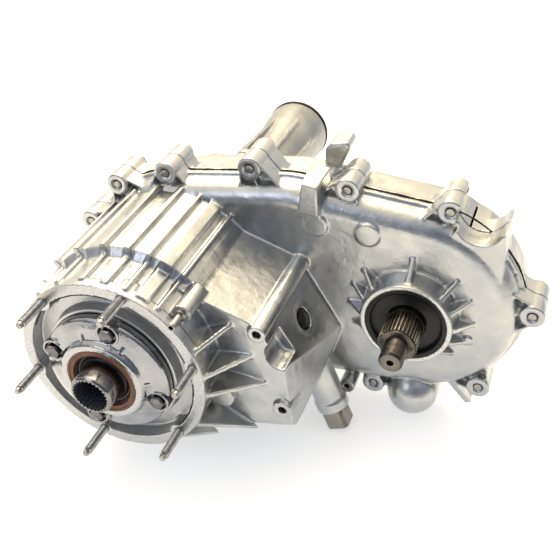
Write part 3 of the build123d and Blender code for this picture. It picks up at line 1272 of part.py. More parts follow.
def tone_wheel():
    return slab(toothed(TONE_TEETH, TONE_R - 4, TONE_R, 0.6, 0.45), TONE_Y, TONE_Y + TONE_W) - cyl(
        TONE_Y - 1, TONE_Y + TONE_W + 1, TAIL_SHAFT_R
    )


def sensor_bar(r, start, end):
    """A cylinder along the speed sensor, by distance from the main axis."""
    bar = Cylinder(r, end - start, align=(Align.CENTER, Align.CENTER, Align.MIN))
    x, z = polar(start, SENSOR_ANGLE)
    way = Vector(cos(radians(SENSOR_ANGLE)), 0, sin(radians(SENSOR_ANGLE)))
    return Plane(origin=(x, TONE_Y + TONE_W / 2, z), z_dir=way).location * bar


def speed_sensor():
    return sensor_bar(SENSOR_R, TONE_R + 1, SENSOR_TOP_R) + [
        sensor_bar(SENSOR_HEAD_R, SENSOR_SEAT_R, SENSOR_SEAT_R + 6),
        sensor_bar(SENSOR_R - 2, SENSOR_TOP_R - 1, SENSOR_TOP_R + 8),
    ]


def extension_housing():
    y0 = TOWER_BACK_Y + SEAL_BEAD
    flange_back = y0 + EXT_FLANGE
    tube = Spline((EXT_FOOT_R, flange_back), *EXT_PROFILE)
    end_r, end_y = EXT_PROFILE[-1]
    outer = [
        Line((0, y0), (EXT_BOLT_R - 3, y0)),
        Line((EXT_BOLT_R - 3, y0), (EXT_BOLT_R - 3, flange_back)),
        Line((EXT_BOLT_R - 3, flange_back), (EXT_FOOT_R, flange_back)),
        tube,
        Line((end_r, end_y), (end_r, TAIL_Y)),
        Line((end_r, TAIL_Y), (0, TAIL_Y)),
        Line((0, TAIL_Y), (0, y0)),
    ]
    adds = []
    for x, z in extension_places():
        adds.append(cyl(y0, flange_back, SEAM_BOSS_R, x, z))
    for i in range(EXT_RIBS):
        angle = (i + 0.5) * 360 / EXT_RIBS
        rib = [(30, flange_back - 1), (EXT_BOLT_R - 8, flange_back - 1), (EXT_RIB_R, EXT_PROFILE[1][1]), (42, TAIL_Y - 20), (30, TAIL_Y - 20)]
        adds.append(radial_web(rib, EXT_RIB_T, angle))
    adds.append(sensor_bar(SENSOR_HEAD_R + 1, TONE_R, SENSOR_SEAT_R))
    body = revolve(make_face(outer), Axis.Y, 360) + adds
    tunnel = turned([
        (0, y0 - 1), (PUMP_R - 6, y0 - 1), (PUMP_R - 6, y0 + 8), (EXT_PROFILE[0][0] - EXT_WALL, EXT_PROFILE[0][1]),
        (EXT_PROFILE[1][0] - EXT_WALL, EXT_PROFILE[1][1]), (EXT_PROFILE[2][0] - EXT_WALL, EXT_PROFILE[2][1]),
        (EXT_PROFILE[2][0] - EXT_WALL, BUSH_Y - 2), (YOKE_R + 1, BUSH_Y), (0, BUSH_Y),
    ])
    cuts = [
        tunnel,
        cyl(BUSH_Y - 1, BUSH_Y + BUSH_L, YOKE_R + BUSH_WALL),
        cyl(BUSH_Y, TAIL_SEAL_Y + 1, YOKE_R + BUSH_WALL),
        cyl(TAIL_SEAL_Y, TAIL_Y + 1, TAIL_SEAL_R),
        sensor_bar(SENSOR_R, TONE_R, SENSOR_SEAT_R + 2),
    ]
    for x, z in extension_places():
        cuts.append(cyl(y0 - 1, flange_back + 1, BOLT_M8, x, z))
    return body - cuts - sensor_bar(SENSOR_HEAD_R + 0.5, SENSOR_SEAT_R, SENSOR_TOP_R + HOUSING_R)


def tail_bushing():
    return ring(BUSH_Y, BUSH_Y + BUSH_L, YOKE_R + BUSH_WALL, YOKE_R + RUN)


def tail_seal():
    return lip_seal(TAIL_SEAL_Y, TAIL_Y + TAIL_RIM - TAIL_SEAL_Y, TAIL_SEAL_R, YOKE_R, towards=1) + ring(
        TAIL_Y, TAIL_Y + TAIL_RIM, EXT_END_R + 1, TAIL_SEAL_R - 2
    )


def plug(x, z):
    """A threaded plug with a hexagon head."""
    seat = CHAIN_BACK_Y + PLUG_BOSS_H
    body = cyl(CHAIN_BACK_WALL, seat, PLUG_R, x, z)
    return body + [cyl(seat, seat + 2, PLUG_R + 3, x, z), hex_head(seat + 1, seat + PLUG_HEAD, PLUG_HEX, x, z)]


def case_plugs():
    return Compound(children=[plug(x, z) for x, z in PLUG_PLACES])


def vent_nipple():
    x, z = polar(HOUSING_R + VENT_OUT, VENT_ANGLE)
    body = cyl(VENT_TIP_Y, VENT_SEAT_Y + VENT_SEAT_L, VENT_R, x, z) + [
        cyl(VENT_TIP_Y, VENT_TIP_Y + 3, VENT_R + 0.8, x, z), cyl(VENT_SEAT_Y - 3, VENT_SEAT_Y, VENT_R + 2.5, x, z),
    ]
    return body - cyl(VENT_TIP_Y - 1, VENT_SEAT_Y + VENT_SEAT_L - 2, VENT_BORE_R, x, z)


def mode_switch():
    head = Plane(origin=SWITCH_AT + SWITCH_FACE * (SWITCH_TOP - 1), z_dir=SWITCH_FACE).location * extrude(
        RegularPolygon(SWITCH_HEX / 2, 6, major_radius=False), amount=SWITCH_HEAD + 1
    )
    pin_end = SWITCH_TOP + SWITCH_HEAD
    return head + [switch_bar(SWITCH_R, -SWITCH_SHANK, SWITCH_TOP), switch_bar(SWITCH_PIN_R, pin_end - 1, pin_end + 1.5)]


MAKERS = {
    "front_case": front_case,
    "rear_case": rear_case,
    "case_sealant": case_sealant,
    "case_dowels": case_dowels,
    "case_bolts": case_bolts,
    "retainer_bolts": retainer_bolts,
    "extension_bolts": extension_bolts,
    "input_studs": input_studs,
    "input_retainer": input_retainer,
    "retainer_sealant": retainer_sealant,
    "input_seal": input_seal,
    "output_seal": output_seal,
    "input_bearing_outer": lambda: race(INPUT_BRG, HUB_FACE_Y, True),
    "input_bearing_inner": lambda: race(INPUT_BRG, HUB_FACE_Y, False),
    "input_bearing_balls": lambda: balls(INPUT_BRG, HUB_FACE_Y),
    "output_bearing_outer": lambda: race(OUTPUT_BRG, OUT_BRG_Y, True, OUT_X, OUT_Z),
    "output_bearing_inner": lambda: race(OUTPUT_BRG, OUT_BRG_Y, False, OUT_X, OUT_Z),
    "output_bearing_balls": lambda: balls(OUTPUT_BRG, OUT_BRG_Y, OUT_X, OUT_Z),
    "rear_bearing_outer": lambda: race(REAR_BRG, REAR_BRG_Y, True),
    "rear_bearing_inner": lambda: race(REAR_BRG, REAR_BRG_Y, False),
    "rear_bearing_balls": lambda: balls(REAR_BRG, REAR_BRG_Y),
    "output_needle_bearing": output_needle_bearing,
    "pilot_bearing": pilot_bearing,
    "input_shaft": input_shaft,
    "input_snap_ring": input_snap_ring,
    "ring_gear": ring_gear,
    "ring_gear_circlip": ring_gear_circlip,
    "planet_carrier": planet_carrier,
    "planet_pins": planet_pins,
    "planet_gear_1": lambda: planet_gear(0),
    "planet_gear_2": lambda: planet_gear(1),
    "planet_gear_3": lambda: planet_gear(2),
    "planet_gear_4": lambda: planet_gear(3),
    "range_hub": range_hub,
    "range_fork": range_fork,
    "mainshaft": mainshaft,
    "drive_sprocket": drive_sprocket,
    "driven_sprocket": driven_sprocket,
    "drive_chain": drive_chain,
    "mode_hub": mode_hub,
    "mode_sleeve": mode_sleeve,
    "mode_fork": mode_fork,
    "shift_rail": shift_rail,
    "sector_shaft": sector_shaft,
    "sector_seal": sector_seal,
    "detent_plunger": detent_plunger,
    "detent_spring": detent_spring,
    "front_output_shaft": front_output_shaft,
    "oil_pump_housing": oil_pump_housing,
    "oil_pump_rotor": oil_pump_rotor,
    "oil_pickup": oil_pickup,
    "oil_magnet": oil_magnet,
    "tone_wheel": tone_wheel,
    "speed_sensor": speed_sensor,
    "extension_housing": extension_housing,
    "tail_bushing": tail_bushing,
    "tail_seal": tail_seal,
    "case_plugs": case_plugs,
    "vent_nipple": vent_nipple,
    "mode_switch": mode_switch,
}

if __name__ == "__main__":
    os.makedirs("parts", exist_ok=True)
    for name, maker in MAKERS.items():
        export_step(maker(), f"parts/{name}.step")
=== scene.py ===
"""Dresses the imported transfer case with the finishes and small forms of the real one.

Sizes in the classes are millimetres; Blender's meshes are metres in the row frame.
"""

import json
import logging
import math
from collections.abc import Sequence
from dataclasses import dataclass, field
from enum import Enum

import bpy
from mathutils import Matrix, Vector, noise


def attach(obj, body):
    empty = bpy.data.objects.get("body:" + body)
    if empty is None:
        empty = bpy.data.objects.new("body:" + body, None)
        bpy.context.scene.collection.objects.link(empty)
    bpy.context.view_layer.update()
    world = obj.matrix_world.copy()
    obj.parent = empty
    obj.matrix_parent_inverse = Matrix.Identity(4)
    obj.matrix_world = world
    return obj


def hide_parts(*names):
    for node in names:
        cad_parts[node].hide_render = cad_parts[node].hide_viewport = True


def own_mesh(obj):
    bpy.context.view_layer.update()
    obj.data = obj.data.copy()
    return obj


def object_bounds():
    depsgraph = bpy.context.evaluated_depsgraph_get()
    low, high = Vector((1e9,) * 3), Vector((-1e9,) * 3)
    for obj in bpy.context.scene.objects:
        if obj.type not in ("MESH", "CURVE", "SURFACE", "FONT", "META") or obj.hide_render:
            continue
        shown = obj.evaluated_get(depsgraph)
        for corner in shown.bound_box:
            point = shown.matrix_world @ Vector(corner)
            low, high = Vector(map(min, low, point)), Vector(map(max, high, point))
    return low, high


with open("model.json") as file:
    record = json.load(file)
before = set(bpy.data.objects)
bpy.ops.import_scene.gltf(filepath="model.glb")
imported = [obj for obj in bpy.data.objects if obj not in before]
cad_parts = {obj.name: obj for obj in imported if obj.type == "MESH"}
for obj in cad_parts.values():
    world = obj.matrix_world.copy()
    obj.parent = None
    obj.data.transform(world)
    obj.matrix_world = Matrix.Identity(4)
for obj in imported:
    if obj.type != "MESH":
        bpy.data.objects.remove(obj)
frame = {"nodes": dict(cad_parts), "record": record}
CAD_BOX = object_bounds()
LOG = logging.getLogger("transfer_case")
MM = 0.001
Pair = tuple[float, float]
Triple = tuple[float, float, float]
WHITE = (1.0, 1.0, 1.0, 1.0)
# The (x, z) of the two shaft axes in millimetres; both run along Y.
MAIN_AXIS: Pair = (0.0, 0.0)
OUTPUT_AXIS: Pair = (258.0, 20.5)
# Points closer than this are one point, in a CAD mesh and in a turned one.
CAD_WELD_MM = 0.002
TURNED_WELD_MM = 0.001
# Facets that differ by less are one face; edges that bend by more are broken.
FLAT_DEGREES = 1.0
EDGE_DEGREES = 40.0
# Faces of a turned piece that meet at more than this show a crease.
LATHE_CREASE_DEGREES = 32.0
# The part of a noise texture's range that most of its values lie in.
NOISE_SPAN: Pair = (0.3, 0.7)
# The pointiness at which wear starts on an outer edge, and at which it is full.
WORN_SPAN: Pair = (0.52, 0.6)
# The part of the noise that spreads a tinted ring's two colours in soft speckles.
SPECKLE_SPAN: Pair = (0.38, 0.62)
SLOT_OF_NODE: dict[str, str] = {
    part["node"]: part["material_slot"] for part in frame["record"]["subparts"]
}
BODY_OF_NODE: dict[str, str] = {
    node: body for body, nodes in frame["record"]["behaviour"]["bodies"].items() for node in nodes
}


class Body(Enum):
    """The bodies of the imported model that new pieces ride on."""

    CASE = "case"


class Slot(Enum):
    """The record's material slots, whose finishes the new pieces share."""

    CAST = "cast_aluminium"
    SEALANT = "sealant"
    ZINC = "zinc_steel"
    STUD = "stud_steel"
    BLACK_RUBBER = "black_rubber"
    BROWN_RUBBER = "brown_rubber"


def linear(code: str) -> tuple[float, float, float, float]:
    """Turn an sRGB hex value to the linear colour that a shader takes.

    Args:
        code: Six hex digits after a hash.

    Returns:
        Red, green, blue and an alpha of 1.
    """
    parts = [int(code[i:i + 2], 16) / 255 for i in (1, 3, 5)]
    red, green, blue = (
        v / 12.92 if v <= 0.04045 else ((v + 0.055) / 1.055) ** 2.4 for v in parts
    )
    return red, green, blue, 1.0


def add_node(
    tree: bpy.types.NodeTree,
    kind: str,
    inputs: dict[str | int, object] | None = None,
    **settings: object,
) -> bpy.types.Node:
    """Add a node with its settings, and set or link its inputs.

    Args:
        tree: The node tree that takes the node.
        kind: The node's type name after "ShaderNode".
        inputs: Socket name or number to a value or to another node's output.
        **settings: Properties of the node.

    Returns:
        The new node.
    """
    made = tree.nodes.new("ShaderNode" + kind)
    for key, value in settings.items():
        setattr(made, key, value)
    for key, value in (inputs or {}).items():
        if isinstance(value, bpy.types.NodeSocket):
            tree.links.new(value, made.inputs[key])
        else:
            made.inputs[key].default_value = value
    return made


def per_metre(size_mm: float) -> float:
    """Give the texture scale at which one cell is this many millimetres."""
    return 1 / (size_mm * MM)


def span_share(
    tree: bpy.types.NodeTree, value: bpy.types.NodeSocket, span: Pair, to: Pair = (0.0, 1.0)
) -> bpy.types.NodeSocket:
    """Map a value's place in a span to a share, or to another span.

    Args:
        tree: The node tree that takes the node.
        value: The socket of the value.
        span: The values that give the start and the end of the result.
        to: The start and the end of the result.

    Returns:
        The socket of the result.
    """
    return add_node(tree, "MapRange", {
        "Value": value, "From Min": span[0], "From Max": span[1], "To Min": to[0], "To Max": to[1],
    }).outputs[0]


@dataclass(frozen=True)
class Finish:
    """A surface with a tint that varies, a grain in relief and a varying roughness.

    The base is right for blasted, moulded and rolled surfaces; the others add to it.
    """

    name: str
    low: str
    high: str
    roughness: Pair
    metallic: float = 1.0
    patch_mm: float = 30.0
    grain_mm: float = 1.2
    grain_depth_mm: float = 0.05
    swell_mm: float = 9.0
    swell_depth_mm: float = 0.0
    worn: str = ""
    coat: float = 0.0
    ior: float = 1.5

    def place(self, tree: bpy.types.NodeTree) -> bpy.types.NodeSocket:
        """Give the coordinates that the patterns read."""
        return add_node(tree, "TexCoord").outputs["Object"]

    def relief(
        self, tree: bpy.types.NodeTree, place: bpy.types.NodeSocket
    ) -> bpy.types.NodeSocket:
        """Build the height of the surface in millimetres.

        Args:
            tree: The material's node tree.
            place: The coordinates that the patterns read.

        Returns:
            The socket that holds the height.
        """
        grain = add_node(
            tree, "TexNoise", {"Vector": place, "Scale": per_metre(self.grain_mm), "Detail": 3.0}
        )
        swell = add_node(
            tree, "TexNoise", {"Vector": place, "Scale": per_metre(self.swell_mm), "Detail": 2.0}
        )
        fine = add_node(
            tree, "Math", {0: grain.outputs["Fac"], 1: self.grain_depth_mm}, operation="MULTIPLY"
        )
        return add_node(
            tree, "Math", {0: swell.outputs["Fac"], 1: self.swell_depth_mm, 2: fine.outputs[0]},
            operation="MULTIPLY_ADD",
        ).outputs[0]

    def tint(self, tree: bpy.types.NodeTree, place: bpy.types.NodeSocket) -> bpy.types.NodeSocket:
        """Mix the finish's two colours in patches, and the worn colour on outer edges.

        Args:
            tree: The material's node tree.
            place: The coordinates that the patterns read.

        Returns:
            The socket that holds the colour.
        """
        patch = add_node(
            tree, "TexNoise", {"Vector": place, "Scale": per_metre(self.patch_mm), "Detail": 5.0}
        )
        share = span_share(tree, patch.outputs["Fac"], NOISE_SPAN)
        mixed = self.blend(tree, share, linear(self.low), linear(self.high))
        if not self.worn:
            return mixed
        point = add_node(tree, "NewGeometry").outputs["Pointiness"]
        edge = span_share(tree, point, WORN_SPAN)
        return self.blend(tree, edge, mixed, linear(self.worn))

    def blend(
        self, tree: bpy.types.NodeTree, share: object, first: object, second: object
    ) -> bpy.types.NodeSocket:
        """Mix two colours by a share and give the result's socket."""
        return add_node(
            tree, "MixRGB", {"Fac": share, "Color1": first, "Color2": second}
        ).outputs[0]

    def dullness(
        self, tree: bpy.types.NodeTree, place: bpy.types.NodeSocket
    ) -> bpy.types.NodeSocket:
        """Vary the roughness between its limits.

        Args:
            tree: The material's node tree.
            place: The coordinates that the patterns read.

        Returns:
            The socket that holds the roughness.
        """
        scale = per_metre(self.patch_mm / 3)
        haze = add_node(tree, "TexNoise", {"Vector": place, "Scale": scale, "Detail": 4.0})
        return span_share(tree, haze.outputs["Fac"], NOISE_SPAN, self.roughness)

    def material(self) -> bpy.types.Material:
        """Build the material once, and give it again when it is asked for later."""
        found = bpy.data.materials.get(self.name)
        if found:
            return found
        made = bpy.data.materials.new(self.name)
        made.use_nodes = True
        tree = made.node_tree
        tree.nodes.clear()
        place = self.place(tree)
        bump = add_node(
            tree, "Bump", {"Height": self.relief(tree, place), "Distance": MM, "Strength": 1.0}
        )
        inputs: dict[str, object] = {
            "Base Color": self.tint(tree, place),
            "Roughness": self.dullness(tree, place),
            "Normal": bump.outputs[0],
            "Metallic": self.metallic,
            "Coat Weight": self.coat,
        }
        if self.metallic < 0.5:
            inputs["IOR"] = self.ior
        shader = add_node(tree, "BsdfPrincipled", inputs)
        add_node(tree, "OutputMaterial", {"Surface": shader.outputs[0]})
        return made


@dataclass(frozen=True)
class TurnedFinish(Finish):
    """A face cut on a lathe: fine rings about the shaft axis that it was turned on."""

    centre: Pair = (0.0, 0.0)
    ring_mm: float = 1.1
    ring_depth_mm: float = 0.012

    def relief(
        self, tree: bpy.types.NodeTree, place: bpy.types.NodeSocket
    ) -> bpy.types.NodeSocket:
        """Add the turning rings to the base's relief."""
        x, z = self.centre
        centred = add_node(tree, "Mapping", {"Vector": place, "Location": (-x * MM, 0.0, -z * MM)})
        # Blender's wave repeats every 2 pi / 20 of its scaled distance.
        rings = add_node(tree, "TexWave", {
            "Vector": centred.outputs[0], "Scale": math.tau / 20 * per_metre(self.ring_mm),
            "Distortion": 0.6, "Detail": 1.0,
        }, wave_type="RINGS", rings_direction="Y")
        return add_node(tree, "Math", {
            0: rings.outputs["Fac"], 1: self.ring_depth_mm, 2: super().relief(tree, place),
        }, operation="MULTIPLY_ADD").outputs[0]


@dataclass(frozen=True)
class TintedRing:
    """A ring on a piece with its own tint and roughness, by its axis, radii and stations in
    millimetres: mostly a face that a tool has cut, on some pieces painted light and painted
    reflection.
    """

    centre: Pair
    radii: Pair
    stations: Pair
    low: str
    high: str
    roughness: float


@dataclass(frozen=True)
class RingTintedFinish(Finish):
    """A finish whose rings show another colour and gloss: cut faces, and on some pieces painted
    light and painted reflection.
    """

    tinted_rings: tuple[TintedRing, ...] = ()
    speckle_mm: float = 1.8

    def inside(
        self, tree: bpy.types.NodeTree, place: bpy.types.NodeSocket, face: TintedRing
    ) -> bpy.types.NodeSocket:
        """Give 1 in a tinted ring and 0 elsewhere.

        Args:
            tree: The material's node tree.
            place: The coordinates that the patterns read.
            face: The tinted ring.

        Returns:
            The socket that holds the share.
        """
        parts = add_node(tree, "SeparateXYZ", {0: place}).outputs
        flat = add_node(tree, "CombineXYZ", {"X": parts["X"], "Z": parts["Z"]})
        axis = (face.centre[0] * MM, 0.0, face.centre[1] * MM)
        away = add_node(tree, "VectorMath", {0: flat.outputs[0], 1: axis}, operation="DISTANCE")
        spans = ((away.outputs["Value"], face.radii), (parts["Y"], face.stations))
        shares = [
            add_node(
                tree, "Math", {0: value, 1: (low + high) / 2 * MM, 2: (high - low) / 2 * MM},
                operation="COMPARE",
            ).outputs[0]
            for value, (low, high) in spans
        ]
        both = add_node(tree, "Math", {0: shares[0], 1: shares[1]}, operation="MULTIPLY")
        return both.outputs[0]

    def tint(self, tree: bpy.types.NodeTree, place: bpy.types.NodeSocket) -> bpy.types.NodeSocket:
        """Add the speckled colours of the tinted rings to the base's tint."""
        tint = super().tint(tree, place)
        for face in self.tinted_rings:
            scale = per_metre(self.speckle_mm)
            speckle = add_node(tree, "TexNoise", {"Vector": place, "Scale": scale, "Detail": 2.0})
            share = span_share(tree, speckle.outputs["Fac"], SPECKLE_SPAN)
            cut = self.blend(tree, share, linear(face.low), linear(face.high))
            tint = self.blend(tree, self.inside(tree, place, face), tint, cut)
        return tint

    def dullness(
        self, tree: bpy.types.NodeTree, place: bpy.types.NodeSocket
    ) -> bpy.types.NodeSocket:
        """Give the tinted rings their own roughness."""
        dull = super().dullness(tree, place)
        for face in self.tinted_rings:
            inside = self.inside(tree, place, face)
            change = add_node(tree, "Math", {0: face.roughness, 1: dull}, operation="SUBTRACT")
            dull = add_node(
                tree, "Math", {0: inside, 1: change.outputs[0], 2: dull}, operation="MULTIPLY_ADD"
            ).outputs[0]
        return dull


class Finishes:
    """The finishes of this transfer case, each named for how its surface was made; some of them
    also carry painted light or shade.
    """

    # Die-cast aluminium, blasted with beads: satin, cool grey with warm patches. The grain of the
    # real blasting is about 0.3 mm and would not show, so it is drawn at 2.2 mm.
    cast = RingTintedFinish(
        "cast_aluminium_bead_blasted", "#A5A8AD", "#C0C0BC", (0.26, 0.38),
        patch_mm=38, grain_mm=2.2, grain_depth_mm=0.14, swell_mm=13, swell_depth_mm=0.6,
        tinted_rings=(
            TintedRing(MAIN_AXIS, (86.0, 99.3), (-1.0, 0.9), "#A3A5A9", "#BDBEBF", 0.34),
            # The recess inside the ring: a lighter, more even tint than the casting round it. This
            # is painted light that lifts the shade in the recess.
            TintedRing(MAIN_AXIS, (66.0, 88.5), (0.95, 18.0), "#B0B2B5", "#BDBEC0", 0.4),
            TintedRing(OUTPUT_AXIS, (40.0, 46.3), (139.0, 140.9), "#B4B5B5", "#D0D0CC", 0.3),
        ),
    )
    # The same alloy, sand-cast and brushed off: greyer and duller, on the rear extension.
    sand_cast = Finish(
        "cast_aluminium_sand_cast", "#8D8F91", "#A5A5A2", (0.34, 0.46),
        patch_mm=30, grain_mm=2.4, grain_depth_mm=0.2, swell_mm=12, swell_depth_mm=0.4,
    )
    # The same alloy, die-cast and tumbled: darker, smooth and glossy, in soft uneven waves.
    tumbled = RingTintedFinish(
        "cast_aluminium_tumbled", "#8A8B90", "#A6A7AA", (0.13, 0.22),
        patch_mm=26, grain_mm=2.4, grain_depth_mm=0.03, swell_mm=10, swell_depth_mm=0.5,
        tinted_rings=(TintedRing(MAIN_AXIS, (36.0, 43.4), (-21.0, -19.4), "#A2A3A6", "#B0B1B4", 0.2),),
    )
    # The same alloy turned on a lathe: cooler and glossier, with fine rings from the tool.
    main_turned = TurnedFinish(
        "aluminium_turned_on_main_axis", "#A9ABAD", "#BFC0C2", (0.24, 0.34),
        patch_mm=20, grain_mm=0.8, grain_depth_mm=0.01,
    )
    # The input's ground nose: a dark mirror, with a duller broached spline bore whose blue-grey
    # tint is a painted reflection of cool light in the shaded bore.
    nose = RingTintedFinish(
        "steel_ground_and_broached", "#706E6F", "#918F90", (0.10, 0.20),
        patch_mm=14, grain_mm=1.2, grain_depth_mm=0.008,
        tinted_rings=(TintedRing(MAIN_AXIS, (0.0, 19.2), (-40.6, 40.0), "#4A5058", "#7A808A", 0.5),),
    )
    # Ground bearing and gear steel under a film of oil: dark neutral mirror with faint waves.
    ground = Finish("bearing_steel_ground", "#8F8F92", "#A9A9AB", (0.14, 0.24),
                    patch_mm=14, grain_mm=0.6, grain_depth_mm=0.006)
    # Hardened gear steel under oil: browner and duller than the ground journals.
    gear = Finish("gear_steel_hardened", "#6E6B67", "#8B8884", (0.26, 0.38),
                  patch_mm=10, grain_mm=0.7, grain_depth_mm=0.012)
    # Manganese phosphate on steel: a matt charcoal-brown that keeps oil, brighter where rubbed.
    phosphate = Finish("steel_manganese_phosphated", "#353331", "#56524D", (0.24, 0.40),
                       patch_mm=8, grain_mm=1.2, grain_depth_mm=0.03, worn="#A8A298")
    # Zinc-plated fasteners: pale with a soft blue-grey sheen.
    zinc = Finish("steel_zinc_plated", "#8C8B88", "#A8A6A1", (0.25, 0.38),
                  patch_mm=6, grain_mm=0.8, grain_depth_mm=0.015)
    # The same plating, dulled by oil and handling, on the bolts of the input retainer.
    dull_zinc = Finish("steel_zinc_plated_oiled", "#57575B", "#7C7C80", (0.22, 0.36),
                       patch_mm=6, grain_mm=1.0, grain_depth_mm=0.02)
    # Oiled alloy-steel studs: grey steel that shows its rolled thread.
    stud = Finish("stud_steel_oiled", "#8B8A88", "#AAA8A5", (0.22, 0.34),
                  patch_mm=6, grain_mm=0.7, grain_depth_mm=0.012)
    # Sintered bronze bushings: porous, brown-gold.
    bronze = Finish("bronze_sintered", "#7C5A34", "#9C764A", (0.34, 0.48),
                    patch_mm=7, grain_depth_mm=0.03)
    # Nitrile rubber of the lip seals: near black, with a faint sheen.
    nitrile = Finish("nitrile_rubber_moulded", "#060608", "#101013", (0.3, 0.46), metallic=0.0,
                     patch_mm=9, grain_mm=1.4, grain_depth_mm=0.02, ior=1.4)
    # Fluoro rubber of the input seal: red-brown, satin.
    fluoro = Finish("fluoro_rubber_moulded", "#5A3322", "#83543A", (0.3, 0.46), metallic=0.0,
                    patch_mm=9, grain_mm=1.4, grain_depth_mm=0.03, ior=1.4)
    # Glass-filled nylon mouldings: black with a faint fibre grain.
    nylon = Finish("nylon_glass_filled", "#0E0E10", "#1A1A1D", (0.34, 0.46), metallic=0.0,
                   patch_mm=9, grain_mm=1.2, grain_depth_mm=0.03, ior=1.45)
    # Cured anaerobic and silicone sealant: dark grey, rubbery, uneven.
    # The same sealant also draws the bead round the input's hub, which paints the shadow in the
    # gap between hub and ring face.
    sealant = Finish("silicone_sealant_and_painted_shadow", "#131416", "#26272A", (0.35, 0.55), metallic=0.0,
                     patch_mm=12, grain_mm=2.0, grain_depth_mm=0.15, ior=1.41)
    # Sintered ferrite of the magnet: dull grey-black.
    ferrite = Finish("ferrite_sintered", "#26262A", "#36363B", (0.5, 0.65), metallic=0.0, ior=1.5)


FINISH_OF_SLOT: dict[str, Finish] = {
    "cast_aluminium": Finishes.cast,
    "machined_aluminium": Finishes.main_turned,
    "sealant": Finishes.sealant,
    "zinc_steel": Finishes.zinc,
    "stud_steel": Finishes.stud,
    "polished_steel": Finishes.ground,
    "gear_steel": Finishes.gear,
    "dark_phosphate_steel": Finishes.phosphate,
    "bronze": Finishes.bronze,
    "black_rubber": Finishes.nitrile,
    "brown_rubber": Finishes.fluoro,
    "black_plastic": Finishes.nylon,
    "magnet": Finishes.ferrite,
}


def deselect() -> None:
    """Deselect every object."""
    for other in bpy.context.selected_objects:
        other.select_set(False)


def choose(piece: bpy.types.Object) -> None:
    """Deselect everything, then select one object and make it active."""
    deselect()
    piece.select_set(True)
    bpy.context.view_layer.objects.active = piece


def apply_modifier(piece: bpy.types.Object, kind: str, **settings: object) -> None:
    """Add a modifier with its settings and apply it.

    Args:
        piece: The object that is changed.
        kind: The modifier's type.
        **settings: Properties of the modifier.
    """
    choose(piece)
    made = piece.modifiers.new(kind.lower(), kind)
    for key, value in settings.items():
        setattr(made, key, value)
    bpy.ops.object.modifier_apply(modifier=made.name)


def add_object(name: str, data: bpy.types.ID) -> bpy.types.Object:
    """Put a mesh, curve, lamp or camera in the scene as a new object."""
    made = bpy.data.objects.new(name, data)
    bpy.context.scene.collection.objects.link(made)
    return made


def merged_copy(node: str, name: str) -> bpy.types.Object:
    """Copy a CAD node's mesh to a new object and merge its loose triangles.

    Args:
        node: The CAD node.
        name: The new piece's name.

    Returns:
        The copy, a closed mesh at the node's place.
    """
    mesh = frame["nodes"][node].data.copy()
    mesh.materials.clear()
    piece = add_object(name, mesh)
    choose(piece)
    if mesh.has_custom_normals:
        bpy.ops.mesh.customdata_custom_splitnormals_clear()
    bpy.ops.object.mode_set(mode="EDIT")
    bpy.ops.mesh.select_all(action="SELECT")
    bpy.ops.mesh.remove_doubles(threshold=CAD_WELD_MM * MM)
    bpy.ops.object.mode_set(mode="OBJECT")
    return piece


def shade(piece: bpy.types.Object, degrees: float = 35.0) -> None:
    """Smooth the shading, with creases where faces meet at more than an angle."""
    choose(piece)
    bpy.ops.object.shade_smooth_by_angle(angle=math.radians(degrees))


def dress(
    piece: bpy.types.Object, body: str, finish: Finish, nodes: Sequence[str] = ()
) -> bpy.types.Object:
    """Give a finished piece its material and body, and hide the nodes that it stands for.

    Args:
        piece: The finished piece.
        body: The body that it rides on.
        finish: The finish that it is given.
        nodes: CAD nodes that it replaces.

    Returns:
        The same piece.
    """
    piece.data.materials.clear()
    piece.data.materials.append(finish.material())
    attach(piece, body)
    if nodes:
        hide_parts(*nodes)
    LOG.info("%s rides on %s, %d faces", piece.name, body, len(piece.data.polygons))
    return piece


def eased_copy(node: str, name: str, width_mm: float, segments: int = 2) -> bpy.types.Object:
    """Copy a CAD node and break its edges with a small bevel.

    Args:
        node: The CAD node.
        name: The new piece's name.
        width_mm: The bevel's width.
        segments: The bevel's steps.

    Returns:
        The copy.
    """
    piece = merged_copy(node, name)
    bpy.ops.object.mode_set(mode="EDIT")
    bpy.ops.mesh.select_all(action="SELECT")
    bpy.ops.mesh.dissolve_limited(angle_limit=math.radians(FLAT_DEGREES))
    bpy.ops.object.mode_set(mode="OBJECT")
    apply_modifier(
        piece, "BEVEL", width=width_mm * MM, segments=segments, limit_method="ANGLE",
        angle_limit=math.radians(EDGE_DEGREES), use_clamp_overlap=True,
    )
    shade(piece)
    return piece


def lathe(
    name: str, profile: Sequence[Pair], centre: Pair = (0.0, 0.0), steps: int = 96
) -> bpy.types.Object:
    """Turn a closed profile about a shaft axis.

    Args:
        name: The piece's name.
        profile: (radius, station) points in millimetres, in order round the section.
        centre: The axis's (x, z) in millimetres.
        steps: The number of segments round the axis.

    Returns:
        The turned piece, closed, with its normals outwards.
    """
    x, z = centre
    deselect()
    bpy.ops.mesh.primitive_circle_add(vertices=len(profile), fill_type="NOTHING")
    piece = bpy.context.active_object
    piece.name = name
    for vertex, (radius, station) in zip(piece.data.vertices, profile):
        vertex.co = Vector(((x + radius) * MM, station * MM, z * MM))
    bpy.ops.object.mode_set(mode="EDIT")
    bpy.ops.mesh.select_all(action="SELECT")
    bpy.ops.mesh.spin(
        steps=steps, angle=math.tau, center=(x * MM, 0.0, z * MM), axis=(0.0, 1.0, 0.0)
    )
    bpy.ops.mesh.select_all(action="SELECT")
    bpy.ops.mesh.remove_doubles(threshold=TURNED_WELD_MM * MM)
    bpy.ops.mesh.normals_make_consistent(inside=False)
    bpy.ops.object.mode_set(mode="OBJECT")
    return piece


